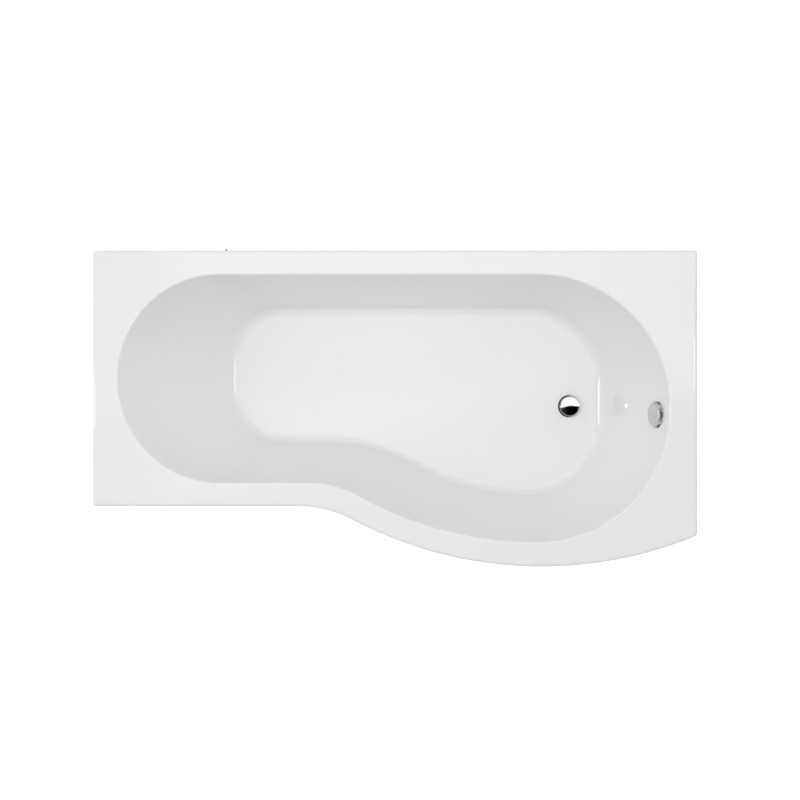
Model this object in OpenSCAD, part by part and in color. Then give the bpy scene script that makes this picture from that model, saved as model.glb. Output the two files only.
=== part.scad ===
// A b-shaped shower bath: a moulded acrylic tub that is narrow at the head and bows out in front
// at the tap end, with its laminate backing, boards, legs, click waste and overflow.
// Millimetres. +Z is up, the straight back side is at +Y and the tap end is at +X.
// The origin is on the ground, under the middle of the whole bath.

/* [Overall] */
// Length of the bath over the rim
length = 1700; // [1500:10:1800]
// Greatest width, at the bow
width = 890; // [850:5:950]
// Width of the narrow head end
narrow_width = 720; // [680:5:780]
// Height of the rim above the ground with the feet half way
rim_height = 540; // [500:5:600]
// Depth of the basin from the rim to the floor at the waste
basin_depth = 385; // [340:5:420]
// How far the floor rises towards the head end
floor_fall = 6; // [0:1:15]

/* [Rim] */
// Flat rim beside the wall at the back
rim_back = 68; // [60:1:80]
// Flat rim at the head end
rim_head = 68.5; // [60:0.5:90]
// Flat rim at the tap end
rim_tap = 77.5; // [70:0.5:100]
// Flat rim along the narrow front
rim_front = 65; // [60:1:80]
// Flat rim at the middle of the bow
rim_bow = 68; // [60:1:80]
// Depth of the edge that turns down round the rim
skirt_depth = 40; // [34:1:60]
// Rounding of the rim's outer top edge
edge_r = 8; // [7:0.5:9]
// Rounding of the rim's corners seen from above
corner_r = 10; // [9.5:0.5:14]
// Rounding where the rim turns down into the basin
lip_r = 10; // [6:1:16]
// Radius of the bow's outer edge
bow_r = 1140; // [1000:10:1300]
// How far the rim's bow has its middle nearer to the tap end than the basin's bow
bow_shift = 12.5; // [0:0.5:24]
// Radius of the hollow curve that leads into the outer bow
ease_r = 325; // [200:5:400]

/* [Basin] */
// How much tighter the bow of the basin's top edge is than the rim's
bow_draw = 100; // [60:5:140]
// Radius of the hollow curve that leads into it
basin_ease_r = 270; // [200:5:340]
// Short flat in the middle of each round end at the top edge
end_flat = 8; // [4:1:40]
// How far the back wall leans from rim to floor
run_back = 81; // [70:1:110]
// How far the narrow front wall leans
run_front = 113; // [95:1:150]
// How far the bowed front wall leans
run_bow = 125; // [110:1:160]
// How far the head end wall leans, for the bather's back
run_head = 295.5; // [260:0.5:360]
// How far the tap end wall leans
run_tap = 165; // [150:0.5:200]
// Straight part of the floor's outline at the head end
floor_head_flat = 71; // [60:1:140]
// Straight part of the floor's outline at the tap end
floor_tap_flat = 118; // [60:1:160]
// Radius of the bow at the floor
floor_bow_r = 690; // [660:10:900]
// Radius of the hollow curve that leads into it at the floor
floor_ease_r = 500; // [250:10:600]
// Reach of the curve between wall and floor, on either side of their corner
foot_blend = 34; // [30:1:50]
// Hollow of the head end wall, which curves like a bather's back
head_hollow = 9; // [0:1:16]

/* [Build-up] */
// Thickness of the acrylic sheet
sheet_t = 5; // [4:0.5:6]
// Thickness of the glass-fibre laminate behind it
laminate_t = 4; // [2:0.5:5]
// Reach of the laminate under the flat rim
laminate_lap = 12; // [6:1:16]
// Bond line between layers and between wood and laminate
bond_gap = 0.2; // [0.1:0.05:0.4]
// Thickness of the chipboard under the floor
board_t = 18; // [15:1:22]
// Gap between the end of the chipboard and the waste's body
board_gap = 74; // [40:1:120]
// Width of the chipboard
board_w = 300; // [280:5:310]
// Rounding of the chipboard's corners
board_r = 40; // [20:1:60]
// Width of the wooden battens under the rim
batten_w = 30; // [20:1:32]
// Thickness of the battens
batten_t = 18; // [12:1:20]
// Gap between a batten and the turned-down edge
batten_gap = 4; // [3:0.5:5]
// Clearance between the bow's sawn batten and the laminate at the middle of the bow
bow_batten_clear = 14; // [12:1:18]

/* [Waste] */
// Level floor between the flange and the curve at the foot of the tap end wall
waste_gap = 20; // [0.5:0.5:30]
// Distance of the waste from the middle of the bath across it
waste_y = 5.5; // [-6:0.5:20]
// Diameter of the hole in the floor
waste_hole_d = 52; // [51:0.5:56]
// Diameter of the chrome flange
flange_d = 70; // [68:1:74]
// Height of the flange above the floor
flange_h = 5; // [4.5:0.1:6]
// Outer diameter of the flange's threaded tail, a one and a half inch pipe thread
tail_d = 47.8; // [47.8:0.1:48.2]
// Bore of the flange's tail
tail_bore_d = 41; // [38:0.5:42]
// Length of the flange's tail below its seat
tail_l = 39; // [34:1:42]
// Diameter of the push-down plug's cap
cap_d = 58; // [56:0.5:58.2]
// Thickness of the cap at its rim
cap_t = 2; // [1.5:0.1:2.5]
// Height of the cap's dome
cap_dome = 2.2; // [1:0.1:3]
// How far the plug travels between open and shut
plug_travel = 8; // [6:0.5:8]
// Diameter of the plug's stem
stem_d = 8; // [6:0.5:8]
// Outer diameter of the sleeve that guides the stem
sleeve_d = 16; // [14:0.5:18]
// Number of turns of the plug's spring
spring_turns = 6; // [4:1:7]
// Thickness of the spring's wire
spring_wire = 1.2; // [0.8:0.1:1.3]
// Thickness of the washer under the flange
washer_t = 1.5; // [1:0.1:2]
// Thickness of the gasket under the floor
gasket_t = 4; // [3:0.5:5]
// Height of the waste chamber's port above the chamber's floor
port_rise = 15; // [14:0.5:16]
// Length of the threaded outlet
outlet_l = 24; // [20:1:30]

/* [Overflow] */
// Depth of the overflow's centre below the rim
overflow_drop = 68; // [60:1:80]
// Place of the overflow across the bath
overflow_y = -17.5; // [-30:0.5:10]
// Diameter of the round cover
cover_d = 76; // [72:1:80]
// Distance the cover stands off the wall of the basin
cover_h = 12; // [11:0.5:15]
// Number of slots round the cover's side
cover_slots = 6; // [4:1:8]
// Width of each slot
cover_slot_w = 16; // [10:1:18]
// Thickness of the gasket behind the wall
overflow_gasket_t = 3; // [2:0.5:4]
// Depth of the housing behind the wall
housing_depth = 30; // [28:1:34]
// Outer diameter of the hose's ribs
hose_d = 31; // [30:0.5:32]
// Bore of the hose
hose_bore_d = 22; // [18:0.5:23]
// Number of ribs along the hose
hose_ribs = 64; // [40:1:80]

/* [Legs] */
// Distance of the head end leg from that end of the chipboard
head_leg_in = 132; // [80:0.5:180]
// Distance of the tap end leg from that end of the chipboard
tap_leg_in = 70.5; // [50:0.5:120]
// Distance of the back feet from the bath's back edge
back_foot_in = 115; // [105:5:145]
// Distance of the head end leg's front foot from the narrow front edge
head_foot_in = 145; // [125:5:165]
// Distance of the tap end leg's front foot from the bow's edge
tap_foot_in = 155; // [135:5:195]
// Width of the folded steel channels
channel_w = 42; // [36:1:50]
// Depth of the channels' sides
channel_h = 24; // [16:1:30]
// Thickness of the folded steel
steel_t = 2; // [1.5:0.1:3]
// Diameter of the threaded studs
stud_d = 12; // [10:0.5:13]
// Diameter of the foot pads
pad_d = 56; // [50:1:64]
// Height of the foot pads
pad_h = 22; // [20:1:26]
// How far each foot screws in or out
foot_travel = 20; // [10:1:20]
// Running clearance of studs and stems in their holes
run_gap = 0.06; // [0.03:0.01:0.08]

/* [Wall brackets] */
// Distance of each wall bracket from its end of the bath
bracket_in = 370; // [250:10:550]
// Width of a wall bracket
bracket_w = 36; // [30:1:50]
// Length of the bracket's leg below the rim
bracket_drop = 60; // [54:1:80]
// Distance between its two screw holes
bracket_hole_gap = 20; // [18:1:22]
// Diameter of its screw holes
bracket_hole_d = 5.5; // [4:0.1:6]

/* [Hidden] */
$fn = 64;
eps = 0.01;

// Counts of points along each stretch of an outline, which every ring shares
n_back = 6;
n_tap = 14;
n_flat = 2;
n_bow = 14;
n_ease = 6;
n_front = 4;
n_head = 12;
n_corner = 4;

// Levels
floor_z = rim_height - basin_depth;
layer_1 = sheet_t;
layer_2 = sheet_t + bond_gap;
layer_3 = layer_2 + laminate_t;
board_top = floor_z - layer_3 - bond_gap;
board_bottom = board_top - board_t;
deck_under = rim_height - sheet_t - bond_gap;

// Plans of the basin at its top edge and at its floor, without the blends:
// back y, narrow front y, bow y, head x, tap x, head radius, tap radius, bow radius, ease radius
top_back = width / 2 - rim_back;
top_front = width / 2 - narrow_width + rim_front;
top_bow = -width / 2 + rim_bow;
top_head = -length / 2 + rim_head;
top_tap = length / 2 - rim_tap;
top_head_r = (top_back - top_front - end_flat) / 2;
top_tap_r = (top_back - top_bow - end_flat) / 2;
top_plan = [top_back, top_front, top_bow, top_head, top_tap,
    top_head_r, top_tap_r, bow_r - bow_draw, basin_ease_r];
floor_back = top_back - run_back;
floor_front = top_front + run_front;
floor_bow = top_bow + run_bow;
floor_head = top_head + run_head;
floor_tap = top_tap - run_tap;
floor_head_r = (floor_back - floor_front - floor_head_flat) / 2;
floor_tap_r = (floor_back - floor_bow - floor_tap_flat) / 2;
floor_plan = [floor_back, floor_front, floor_bow, floor_head, floor_tap,
    floor_head_r, floor_tap_r, floor_bow_r, floor_ease_r];

// Points of an arc or a line without the last one, where the next stretch starts
function arc(c, r, a, b, n) =
    [for (i = [0:n - 1]) c + r * [cos(a + (b - a) * i / n), sin(a + (b - a) * i / n)]];
function line(p, q, n) = [for (i = [0:n - 1]) p + (q - p) * i / n];

// Where the hollow curve starts: it touches the straight front and the bow
function ease_start(bow, low, front, big, small) =
    bow - sqrt(pow(big + small, 2) - pow(low + big - front + small, 2));

// The outline of a basin plan, grown by g, clockwise from above, from the back's head end
function basin_outline(p, g = 0) = let (
    back = p[0] + g, front = p[1] - g, low = p[2] - g, head = p[3] - g, tap = p[4] + g,
    hr = p[5] + g, tr = p[6] + g, big = p[7] + g, small = p[8] - g,
    bow = [tap - tr, low + big],
    ease = [ease_start(bow.x, low, front, big, small), front - small],
    turn = atan2(bow.y - ease.y, bow.x - ease.x))
    concat(line([head + hr, back], [bow.x, back], n_back),
        arc([bow.x, back - tr], tr, 90, 0, n_tap),
        line([tap, back - tr], [tap, low + tr], n_flat),
        arc([bow.x, low + tr], tr, 0, -90, n_tap),
        arc(bow, big, -90, turn - 180, n_bow),
        arc(ease, small, turn, 90, n_ease),
        line([ease.x, front], [head + hr, front], n_front),
        arc([head + hr, front + hr], hr, -90, -180, n_head),
        line([head, front + hr], [head, back - hr], n_flat),
        arc([head + hr, back - hr], hr, 180, 90, n_head));

// The rim's outer edge: the bow's centre, the centre of the corner where it meets the tap end,
// and the centre of the hollow curve, which stay put however far the edge is drawn in
bow_x = top_tap - top_tap_r + bow_shift;
bow_c = [bow_x, -width / 2 + bow_r];
bow_corner_x = length / 2 - corner_r;
bow_corner = [bow_corner_x,
    bow_c.y - sqrt(pow(bow_r - corner_r, 2) - pow(bow_corner_x - bow_x, 2))];
front_y = width / 2 - narrow_width;
ease_c = [ease_start(bow_x, -width / 2, front_y, bow_r, ease_r), front_y - ease_r];
back_y = width / 2;
corner_in = [length / 2 - corner_r, back_y - corner_r];

// The rim's outline, drawn in by d, with its points level with those of the basin's top edge
function rim_outline(d) = let (
    c = corner_r - d, n_run_t = (n_tap - n_corner) / 2, n_run_h = (n_head - n_corner) / 2,
    back = back_y - d, front = front_y + d, head = -length / 2 + d, tap = length / 2 - d,
    x_h = top_head + top_head_r, x_t = top_tap - top_tap_r,
    y_a = top_back - top_tap_r, y_b = top_bow + top_tap_r,
    y_c = top_front + top_head_r, y_d = top_back - top_head_r,
    big = bow_r - d, small = ease_r + d,
    turn = atan2(bow_c.y - ease_c.y, bow_c.x - ease_c.x),
    corner_turn = atan2(bow_corner.y - bow_c.y, bow_corner.x - bow_c.x),
    mid_turn = -acos((x_t - bow_c.x) / big))
    concat(line([x_h, back], [x_t, back], n_back),
        line([x_t, back], [corner_in.x, back], n_run_t),
        arc(corner_in, c, 90, 0, n_corner),
        line([tap, corner_in.y], [tap, y_a], n_run_t),
        line([tap, y_a], [tap, y_b], n_flat),
        line([tap, y_b], [tap, bow_corner.y], n_run_t),
        arc(bow_corner, c, 0, corner_turn, n_corner),
        arc(bow_c, big, corner_turn, mid_turn, n_run_t),
        arc(bow_c, big, mid_turn, turn - 180, n_bow),
        arc(ease_c, small, turn, 90, n_ease),
        line([ease_c.x, front], [x_h, front], n_front),
        line([x_h, front], [-corner_in.x, front], n_run_h),
        arc([-corner_in.x, front_y + corner_r], c, -90, -180, n_corner),
        line([head, front_y + corner_r], [head, y_c], n_run_h),
        line([head, y_c], [head, y_d], n_flat),
        line([head, y_d], [head, corner_in.y], n_run_h),
        arc([-corner_in.x, corner_in.y], c, 180, 90, n_corner),
        line([-corner_in.x, back], [x_h, back], n_run_h));

// Height of the floor: level round the waste, rising gently towards the head end
waste_x = floor_tap - foot_blend - waste_gap - flange_d / 2;
level_x = waste_x - 2 * flange_d;
function floor_at(x) = floor_z
    + floor_fall * pow(max(0, (level_x - x) / (level_x - floor_head)), 2);
function raise(outline, z) = [for (p = outline) [p.x, p.y, z]];
function lay(outline) = [for (p = outline) [p.x, p.y, floor_at(p.x)]];
function bend(a, b, c, t) = a * pow(1 - t, 2) + b * 2 * t * (1 - t) + c * t * t;
function unit(v) = v / norm(v);

// The basin's show face as rings: over the lip, down the walls, round the blend, over the floor
lip_ring = raise(basin_outline(top_plan, lip_r), rim_height);
top_ring = raise(basin_outline(top_plan), rim_height);
foot_ring = lay(basin_outline(floor_plan));
floor_ring = lay(basin_outline(floor_plan, -foot_blend));
outward = basin_outline(top_plan, 1) - basin_outline(top_plan);
n_ring = len(top_ring);

// How much of the hollow a point of the head end wall has
function hollow(i) = head_hollow
    * pow(min(1, max(0, (top_head + top_head_r - top_ring[i].x) / top_head_r)), 2);
function wall_point(i, f) = top_ring[i] * (1 - f) + foot_ring[i] * f
    + 4 * f * (1 - f) * hollow(i) * [outward[i].x, outward[i].y, 0];
function wall_share(i, reach) = reach / norm(top_ring[i] - foot_ring[i]);
function wall_ring(f) = [for (i = [0:n_ring - 1]) wall_point(i, f)];
function lip_bend(t) = [for (i = [0:n_ring - 1])
    bend(lip_ring[i], top_ring[i], wall_point(i, wall_share(i, lip_r)), t)];
function foot_bend(t) = [for (i = [0:n_ring - 1])
    bend(wall_point(i, 1 - wall_share(i, foot_blend)), foot_ring[i], floor_ring[i], t)];

floor_mid = [60, 70];
function floor_share(f) = [for (p = floor_ring) let (
    q = [p.x, p.y] * (1 - f) + floor_mid * f) [q.x, q.y, floor_at(q.x)]];

basin_rings = concat([lip_ring],
    [for (t = [0.25, 0.5, 0.75, 1]) lip_bend(t)],
    [for (f = [0.15, 0.35, 0.55, 0.72]) wall_ring(f)],
    [for (t = [0:0.2:1]) foot_bend(t)],
    [for (f = [0.3, 0.6, 0.85]) floor_share(f)]);
basin_mid = [floor_mid.x, floor_mid.y, floor_at(floor_mid.x)];

// The direction that leaves the show face at a ring's point, upwards and into the basin
function face_normal(rings, j, i) = let (n = len(rings))
    (j == 0 || j >= n - 3) ? [0, 0, 1] : let (
        along = rings[j][(i + 1) % n_ring] - rings[j][(i + n_ring - 1) % n_ring],
        down = rings[j + 1][i] - rings[j - 1][i])
    unit(cross(along, down)) * -1;
function sink(rings, t) = [for (j = [0:len(rings) - 1]) [for (i = [0:n_ring - 1])
    rings[j][i] - t * face_normal(rings, j, i)]];

// The rim's rings, from the bottom of the turned-down edge over its rounding; t is the layer
// below the show face
edge_steps = [0, 30, 60, 90];
function rim_rings(t) = concat([raise(rim_outline(t), rim_height - skirt_depth)],
    [for (a = edge_steps) raise(rim_outline(t + (edge_r - t) * (1 - cos(a))),
        rim_height - edge_r + (edge_r - t) * sin(a))]);

// A closed sheet between a face of rings and one below it, both with a middle point
function flat_list(rings) = [for (r = rings) each r];
module sheet(face, face_mid, under, under_mid) {
    n = n_ring;
    m = len(face);
    low = n * m + 1;
    function at(j, i) = j * n + i % n;
    points = concat(flat_list(face), [face_mid], flat_list(under), [under_mid]);
    top_faces = [for (j = [0:m - 2], i = [0:n - 1]) each
        [[at(j, i), at(j, i + 1), at(j + 1, i + 1)], [at(j, i), at(j + 1, i + 1), at(j + 1, i)]]];
    low_faces = [for (f = top_faces) [f[0] + low, f[2] + low, f[1] + low]];
    top_fan = [for (i = [0:n - 1]) [at(m - 1, i), at(m - 1, i + 1), n * m]];
    low_fan = [for (f = top_fan) [f[0] + low, f[2] + low, f[1] + low]];
    edge = [for (i = [0:n - 1]) each
        [[at(0, i + 1), at(0, i), low + at(0, i)], [at(0, i + 1), low + at(0, i), low + at(0, i + 1)]]];
    polyhedron(points, concat(top_faces, top_fan, low_faces, low_fan, edge), convexity = 8);
}

// The overflow's seat on the tap end wall: local +Z points into the basin, +X up the wall
wall_lean = atan2(run_tap, basin_depth);
overflow_f = overflow_drop / basin_depth;
end_r = top_tap_r * (1 - overflow_f) + floor_tap_r * overflow_f;
end_x = top_tap - run_tap * overflow_f - end_r;
end_y = (top_bow + top_tap_r) * (1 - overflow_f) + (floor_bow + floor_tap_r) * overflow_f;
end_turn = asin((overflow_y - end_y) / end_r);
overflow_seat = [end_x + end_r * cos(end_turn), overflow_y, rim_height - overflow_drop];
overflow_out = [-cos(wall_lean) * cos(end_turn), -cos(wall_lean) * sin(end_turn), sin(wall_lean)];
module at_overflow() translate(overflow_seat) rotate([0, 0, end_turn])
    rotate([0, wall_lean - 90, 0]) children();
module at_waste(z = 0) translate([waste_x, waste_y, z]) children();

// Tub

shell_hole_r = waste_hole_d / 2;

// The acrylic sheet: basin, flat rim and turned-down edge in one moulding, with a flat seat
// for the overflow in its round end wall
module acrylic_shell() color("white") difference() {
    sheet(concat(rim_rings(0), basin_rings), basin_mid,
        concat(rim_rings(layer_1), sink(basin_rings, layer_1)), basin_mid - [0, 0, layer_1]);
    at_waste(floor_z - 20) cylinder(h = 40, r = shell_hole_r);
    at_overflow() translate([0, 0, -20]) cylinder(h = 40, r = shell_hole_r);
    at_overflow() cylinder(h = 10, d = cover_d + 3);
}

// The sprayed laminate that stiffens the sheet, level underneath where the board is bonded
lap_ring = raise(basin_outline(top_plan, lip_r + laminate_lap), rim_height);
module glass_fibre_backing() {
    rings = concat([lap_ring], basin_rings);
    n_flat_from = len(rings) - 4;
    under = sink(rings, layer_3);
    level = [for (j = [0:len(rings) - 1]) j < n_flat_from ? under[j]
        : raise(under[j], board_top + bond_gap)];
    color("tan") difference() {
        sheet(sink(rings, layer_2), basin_mid - [0, 0, layer_2], level,
            [basin_mid.x, basin_mid.y, board_top + bond_gap]);
        at_waste(floor_z - 20) cylinder(h = 40, r = shell_hole_r);
        at_overflow() translate([0, 0, -30]) cylinder(h = 60, r = shell_hole_r);
    }
}

// A plate with round corners, its middle at the origin
module plate(l, w, t, r) linear_extrude(t) difference() {
    square([l, w], center = true);
    for (sx = [-1, 1], sy = [-1, 1]) translate([sx * (l / 2 - r), sy * (w / 2 - r)])
        difference() {
            translate([sx > 0 ? 0 : -r - 1, sy > 0 ? 0 : -r - 1]) square(r + 1);
            circle(r);
        }
}

// The chipboard fills the flat of the floor, from its head end towards the waste
washer_r = flange_d / 2 - 2;
body_rim_r = washer_r + 1;
board_head = floor_head + foot_blend;
board_tap = waste_x - body_rim_r - board_gap;
board_l = board_tap - board_head;
board_mid = [(board_head + board_tap) / 2, (floor_back + floor_front) / 2];
screw_x = board_w / 3;
screw_r = 2.5;
screw_l = board_t * 0.8;
module baseboard() color("burlywood") difference() {
    translate([board_mid.x, board_mid.y, board_bottom]) plate(board_l, board_w, board_t, board_r);
    for (p = screw_places) translate([p.x, p.y, board_bottom - eps])
        cylinder(h = screw_l + eps + 0.3, r = screw_r + run_gap);
}

// Wooden battens under the flat rim
batten_z = deck_under - batten_t;
batten_in = sheet_t + batten_gap;
batten_far = length / 2 - batten_in;
front_batten_l = ease_c.x + length / 2 - batten_in - batten_w - batten_gap;
module batten(x, y, l, w) color("peru") translate([x, y, batten_z]) cube([l, w, batten_t]);
module back_batten() {
    reach = batten_far - batten_w - batten_gap;
    difference() {
        batten(-reach, back_y - batten_in - batten_w, 2 * reach, batten_w);
        for (p = bracket_screw_places) translate([p.x, p.y, batten_z - eps])
            cylinder(h = screw_l + eps + 0.3, r = screw_r + run_gap);
    }
}
module front_batten() batten(-batten_far + batten_w + batten_gap, front_y + batten_in,
    front_batten_l, batten_w);
module head_batten() batten(-batten_far, front_y + batten_in, batten_w,
    narrow_width - 2 * batten_in);
module tap_end_batten() batten(batten_far - batten_w, bow_corner.y, batten_w,
    back_y - batten_in - bow_corner.y);

// The bow's batten is sawn from ply, follows the outer edge and is as wide as the rim allows
bow_batten_out = bow_r - batten_in;
bow_batten_w = rim_bow - batten_in - lip_r - layer_3 - bow_batten_clear;
bow_batten_start = atan2(bow_c.y - ease_c.y, bow_c.x - ease_c.x) - 180;
bow_batten_end = -acos((batten_far - batten_w - batten_gap - bow_c.x) / bow_batten_out);
module bow_batten() color("peru") translate([bow_c.x, bow_c.y, batten_z])
    rotate([0, 0, bow_batten_start])
        rotate_extrude(angle = bow_batten_end - bow_batten_start, $fn = 200)
            translate([bow_batten_out - bow_batten_w, 0]) square([bow_batten_w, batten_t]);

// Legs

// Each foot's place, and the top of the steel web that carries it
head_leg_x = board_head + head_leg_in;
tap_leg_x = board_tap - tap_leg_in;
back_foot_y = back_y - back_foot_in;
head_foot_y = front_y + head_foot_in;
tap_foot_y = tap_foot_in - width / 2;
centre_foot = [board_mid.x, board_mid.y];
foot_places = [[head_leg_x, head_foot_y], [head_leg_x, back_foot_y],
    [tap_leg_x, tap_foot_y], [tap_leg_x, back_foot_y], centre_foot];
centre = 4;
nut_h = stud_d * 0.8;
nut_af = stud_d * 1.6;
web_top = board_bottom;
nut_gap = 1;
centre_web_top = pad_h + foot_travel + nut_gap + nut_h + steel_t;
function web_at(i) = i == centre ? centre_web_top : web_top;
function stud_top(i) = web_at(i) + nut_h + foot_travel + 2;

// Screws that hold the legs to the chipboard, through the channels' webs
channel_screws = [board_mid.y - screw_x, board_mid.y + screw_x];
flange_reach = 30;
bracket_side = 30;
screw_places = concat([for (x = [head_leg_x, tap_leg_x], y = channel_screws) [x, y]],
    [for (s = [-1, 1]) centre_foot + [s * (bracket_side + flange_reach / 2), 0]]);

// A folded channel across the bath: its web against the board, its sides down
channel_end = 30;
module leg_channel(x, y_front) color("silver") {
    y_0 = y_front - channel_end;
    l = back_foot_y + channel_end - y_0;
    difference() {
        translate([x - channel_w / 2, y_0, web_top - channel_h]) cube([channel_w, l, channel_h]);
        translate([x - channel_w / 2 + steel_t, y_0 - 1, web_top - channel_h - 1])
            cube([channel_w - 2 * steel_t, l + 2, channel_h + 1 - steel_t]);
        for (y = [y_front, back_foot_y]) translate([x, y, web_top - steel_t - 1])
            cylinder(h = steel_t + 2, d = stud_d + 1);
        for (y = channel_screws) translate([x, y, web_top - steel_t - 1])
            cylinder(h = steel_t + 2, r = screw_r + run_gap);
    }
}
module head_leg_channel() leg_channel(head_leg_x, head_foot_y);
module tap_leg_channel() leg_channel(tap_leg_x, tap_foot_y);

// A hat-shaped bracket that carries the centre foot below the board
module centre_leg_bracket() color("silver") translate([centre_foot.x, centre_foot.y, 0])
    difference() {
        union() {
            translate([-bracket_side, -channel_w / 2, centre_web_top - steel_t])
                cube([2 * bracket_side, channel_w, steel_t]);
            for (s = [-1, 1]) {
                translate([s > 0 ? bracket_side - steel_t : -bracket_side, -channel_w / 2,
                    centre_web_top - steel_t])
                    cube([steel_t, channel_w, board_bottom - centre_web_top + steel_t]);
                translate([s > 0 ? bracket_side - steel_t : -bracket_side - flange_reach,
                    -channel_w / 2, board_bottom - steel_t])
                    cube([flange_reach + steel_t, channel_w, steel_t]);
            }
        }
        translate([0, 0, centre_web_top - steel_t - 1]) cylinder(h = steel_t + 2, d = stud_d + 1);
        for (s = [-1, 1]) translate([s * (bracket_side + flange_reach / 2), 0, board_bottom - steel_t - 1])
            cylinder(h = steel_t + 2, r = screw_r + run_gap);
    }

// A hexagon nut with a plain bore that runs on the stud
module hex_nut(af, h, bore) difference() {
    cylinder(h = h, d = af / cos(30), $fn = 6);
    translate([0, 0, -1]) cylinder(h = h + 2, d = bore);
}
module leg_nuts() color("silver") for (i = [0:centre]) for (z = [web_at(i), web_at(i) - steel_t - nut_h])
    translate([foot_places[i].x, foot_places[i].y, z])
        hex_nut(nut_af, nut_h, stud_d + 2 * run_gap);

// A pan-head screw seen from below, its head against the steel
screw_head_r = 5;
screw_head_h = 2.6;
module pan_screw() {
    cylinder(h = screw_head_h, r = screw_head_r);
    translate([0, 0, screw_head_h - eps]) cylinder(h = screw_l + steel_t, r = screw_r);
}
module leg_screws() color("gold") for (p = screw_places)
    translate([p.x, p.y, board_bottom - steel_t - screw_head_h]) pan_screw();

// A moulded pad with a socket for the stud's foot
pad_socket = 8;
module foot_pad(i) color("dimgray") translate([foot_places[i].x, foot_places[i].y, 0])
    difference() {
        union() {
            cylinder(h = 5, d = pad_d);
            translate([0, 0, 5]) cylinder(h = 4, d1 = pad_d, d2 = pad_d * 0.7);
            cylinder(h = pad_h, d = stud_d * 2);
            for (a = [0:45:315]) rotate([0, 0, a]) translate([stud_d / 2 + 2, -1.2, 0])
                cube([pad_d * 0.35 - stud_d / 2 - 2, 2.4, pad_h * 0.7]);
        }
        translate([0, 0, pad_socket]) cylinder(h = pad_h, d = stud_d + 2 * run_gap);
    }
module foot_pad_1() foot_pad(0);
module foot_pad_2() foot_pad(1);
module foot_pad_3() foot_pad(2);
module foot_pad_4() foot_pad(3);
module foot_pad_5() foot_pad(4);

module foot_stud(i) color("gainsboro") translate([foot_places[i].x, foot_places[i].y, pad_socket])
    cylinder(h = stud_top(i) - pad_socket, d = stud_d);
module foot_stud_1() foot_stud(0);
module foot_stud_2() foot_stud(1);
module foot_stud_3() foot_stud(2);
module foot_stud_4() foot_stud(3);
module foot_stud_5() foot_stud(4);

// Wall brackets

// A folded strip: one leg under the back batten, a step out below the rim's edge and a leg
// that lies against the wall of the room
bracket_x = length / 2 - bracket_in;
bracket_t = 2.5;
bracket_top = batten_z;
bracket_step = rim_height - skirt_depth - 1;
bracket_arm = batten_w - 4;
arm_y = back_y - sheet_t - 2 * bond_gap;
module wall_bracket(x) color("silver") difference() {
    translate([x + bracket_w / 2, 0, 0]) rotate([90, 0, -90]) linear_extrude(bracket_w) polygon([
        [-arm_y + bracket_arm, bracket_top], [-arm_y, bracket_top],
        [-arm_y, bracket_step], [-back_y, bracket_step],
        [-back_y, bracket_step - bracket_drop], [-back_y + bracket_t, bracket_step - bracket_drop],
        [-back_y + bracket_t, bracket_step - bracket_t], [-arm_y + bracket_t, bracket_step - bracket_t],
        [-arm_y + bracket_t, bracket_top - bracket_t], [-arm_y + bracket_arm, bracket_top - bracket_t]]);
    for (s = [0, 1]) translate([x, back_y + 1, bracket_hole_z - s * bracket_hole_gap])
        rotate([90, 0, 0]) cylinder(h = bracket_t + 2, d = bracket_hole_d);
    for (p = bracket_screw_places) translate([p.x, p.y, bracket_top - bracket_t - 1])
        cylinder(h = bracket_t + 2, r = screw_r + run_gap);
}
bracket_hole_z = bracket_step - bracket_drop / 2 + bracket_hole_gap / 2 - bracket_t;
bracket_screw_places = [for (x = [-bracket_x, bracket_x], s = [-1, 1])
    [x + s * bracket_w / 4, arm_y - bracket_arm / 2 - bracket_t / 2]];
module wall_bracket_head() wall_bracket(-bracket_x);
module wall_bracket_tap() wall_bracket(bracket_x);
module bracket_screws() color("gold") for (p = bracket_screw_places)
    translate([p.x, p.y, bracket_top - bracket_t - screw_head_h]) {
        cylinder(h = screw_head_h, r = screw_head_r);
        translate([0, 0, screw_head_h - eps]) cylinder(h = screw_l + bracket_t, r = screw_r);
    }

// Waste

tail_r = tail_d / 2;
tail_bore_r = tail_bore_d / 2;
cup_r = cap_d / 2 + 0.4;
flange_top = floor_z + flange_h;
seat_z = floor_z + washer_t;
flange_lip = 0.3;
cup_z = flange_top - cap_t - 0.3;
mouth_r = tail_r - 0.9;
throat_z = cup_z - 5.7;
tail_end = seat_z - tail_l;
spider_h = 6;
spider_z = tail_end + 6;
spider_arm_w = 4;
sleeve_r = sleeve_d / 2;
sleeve_top = spider_z + spider_h + 6;
sleeve_end = tail_end;

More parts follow.
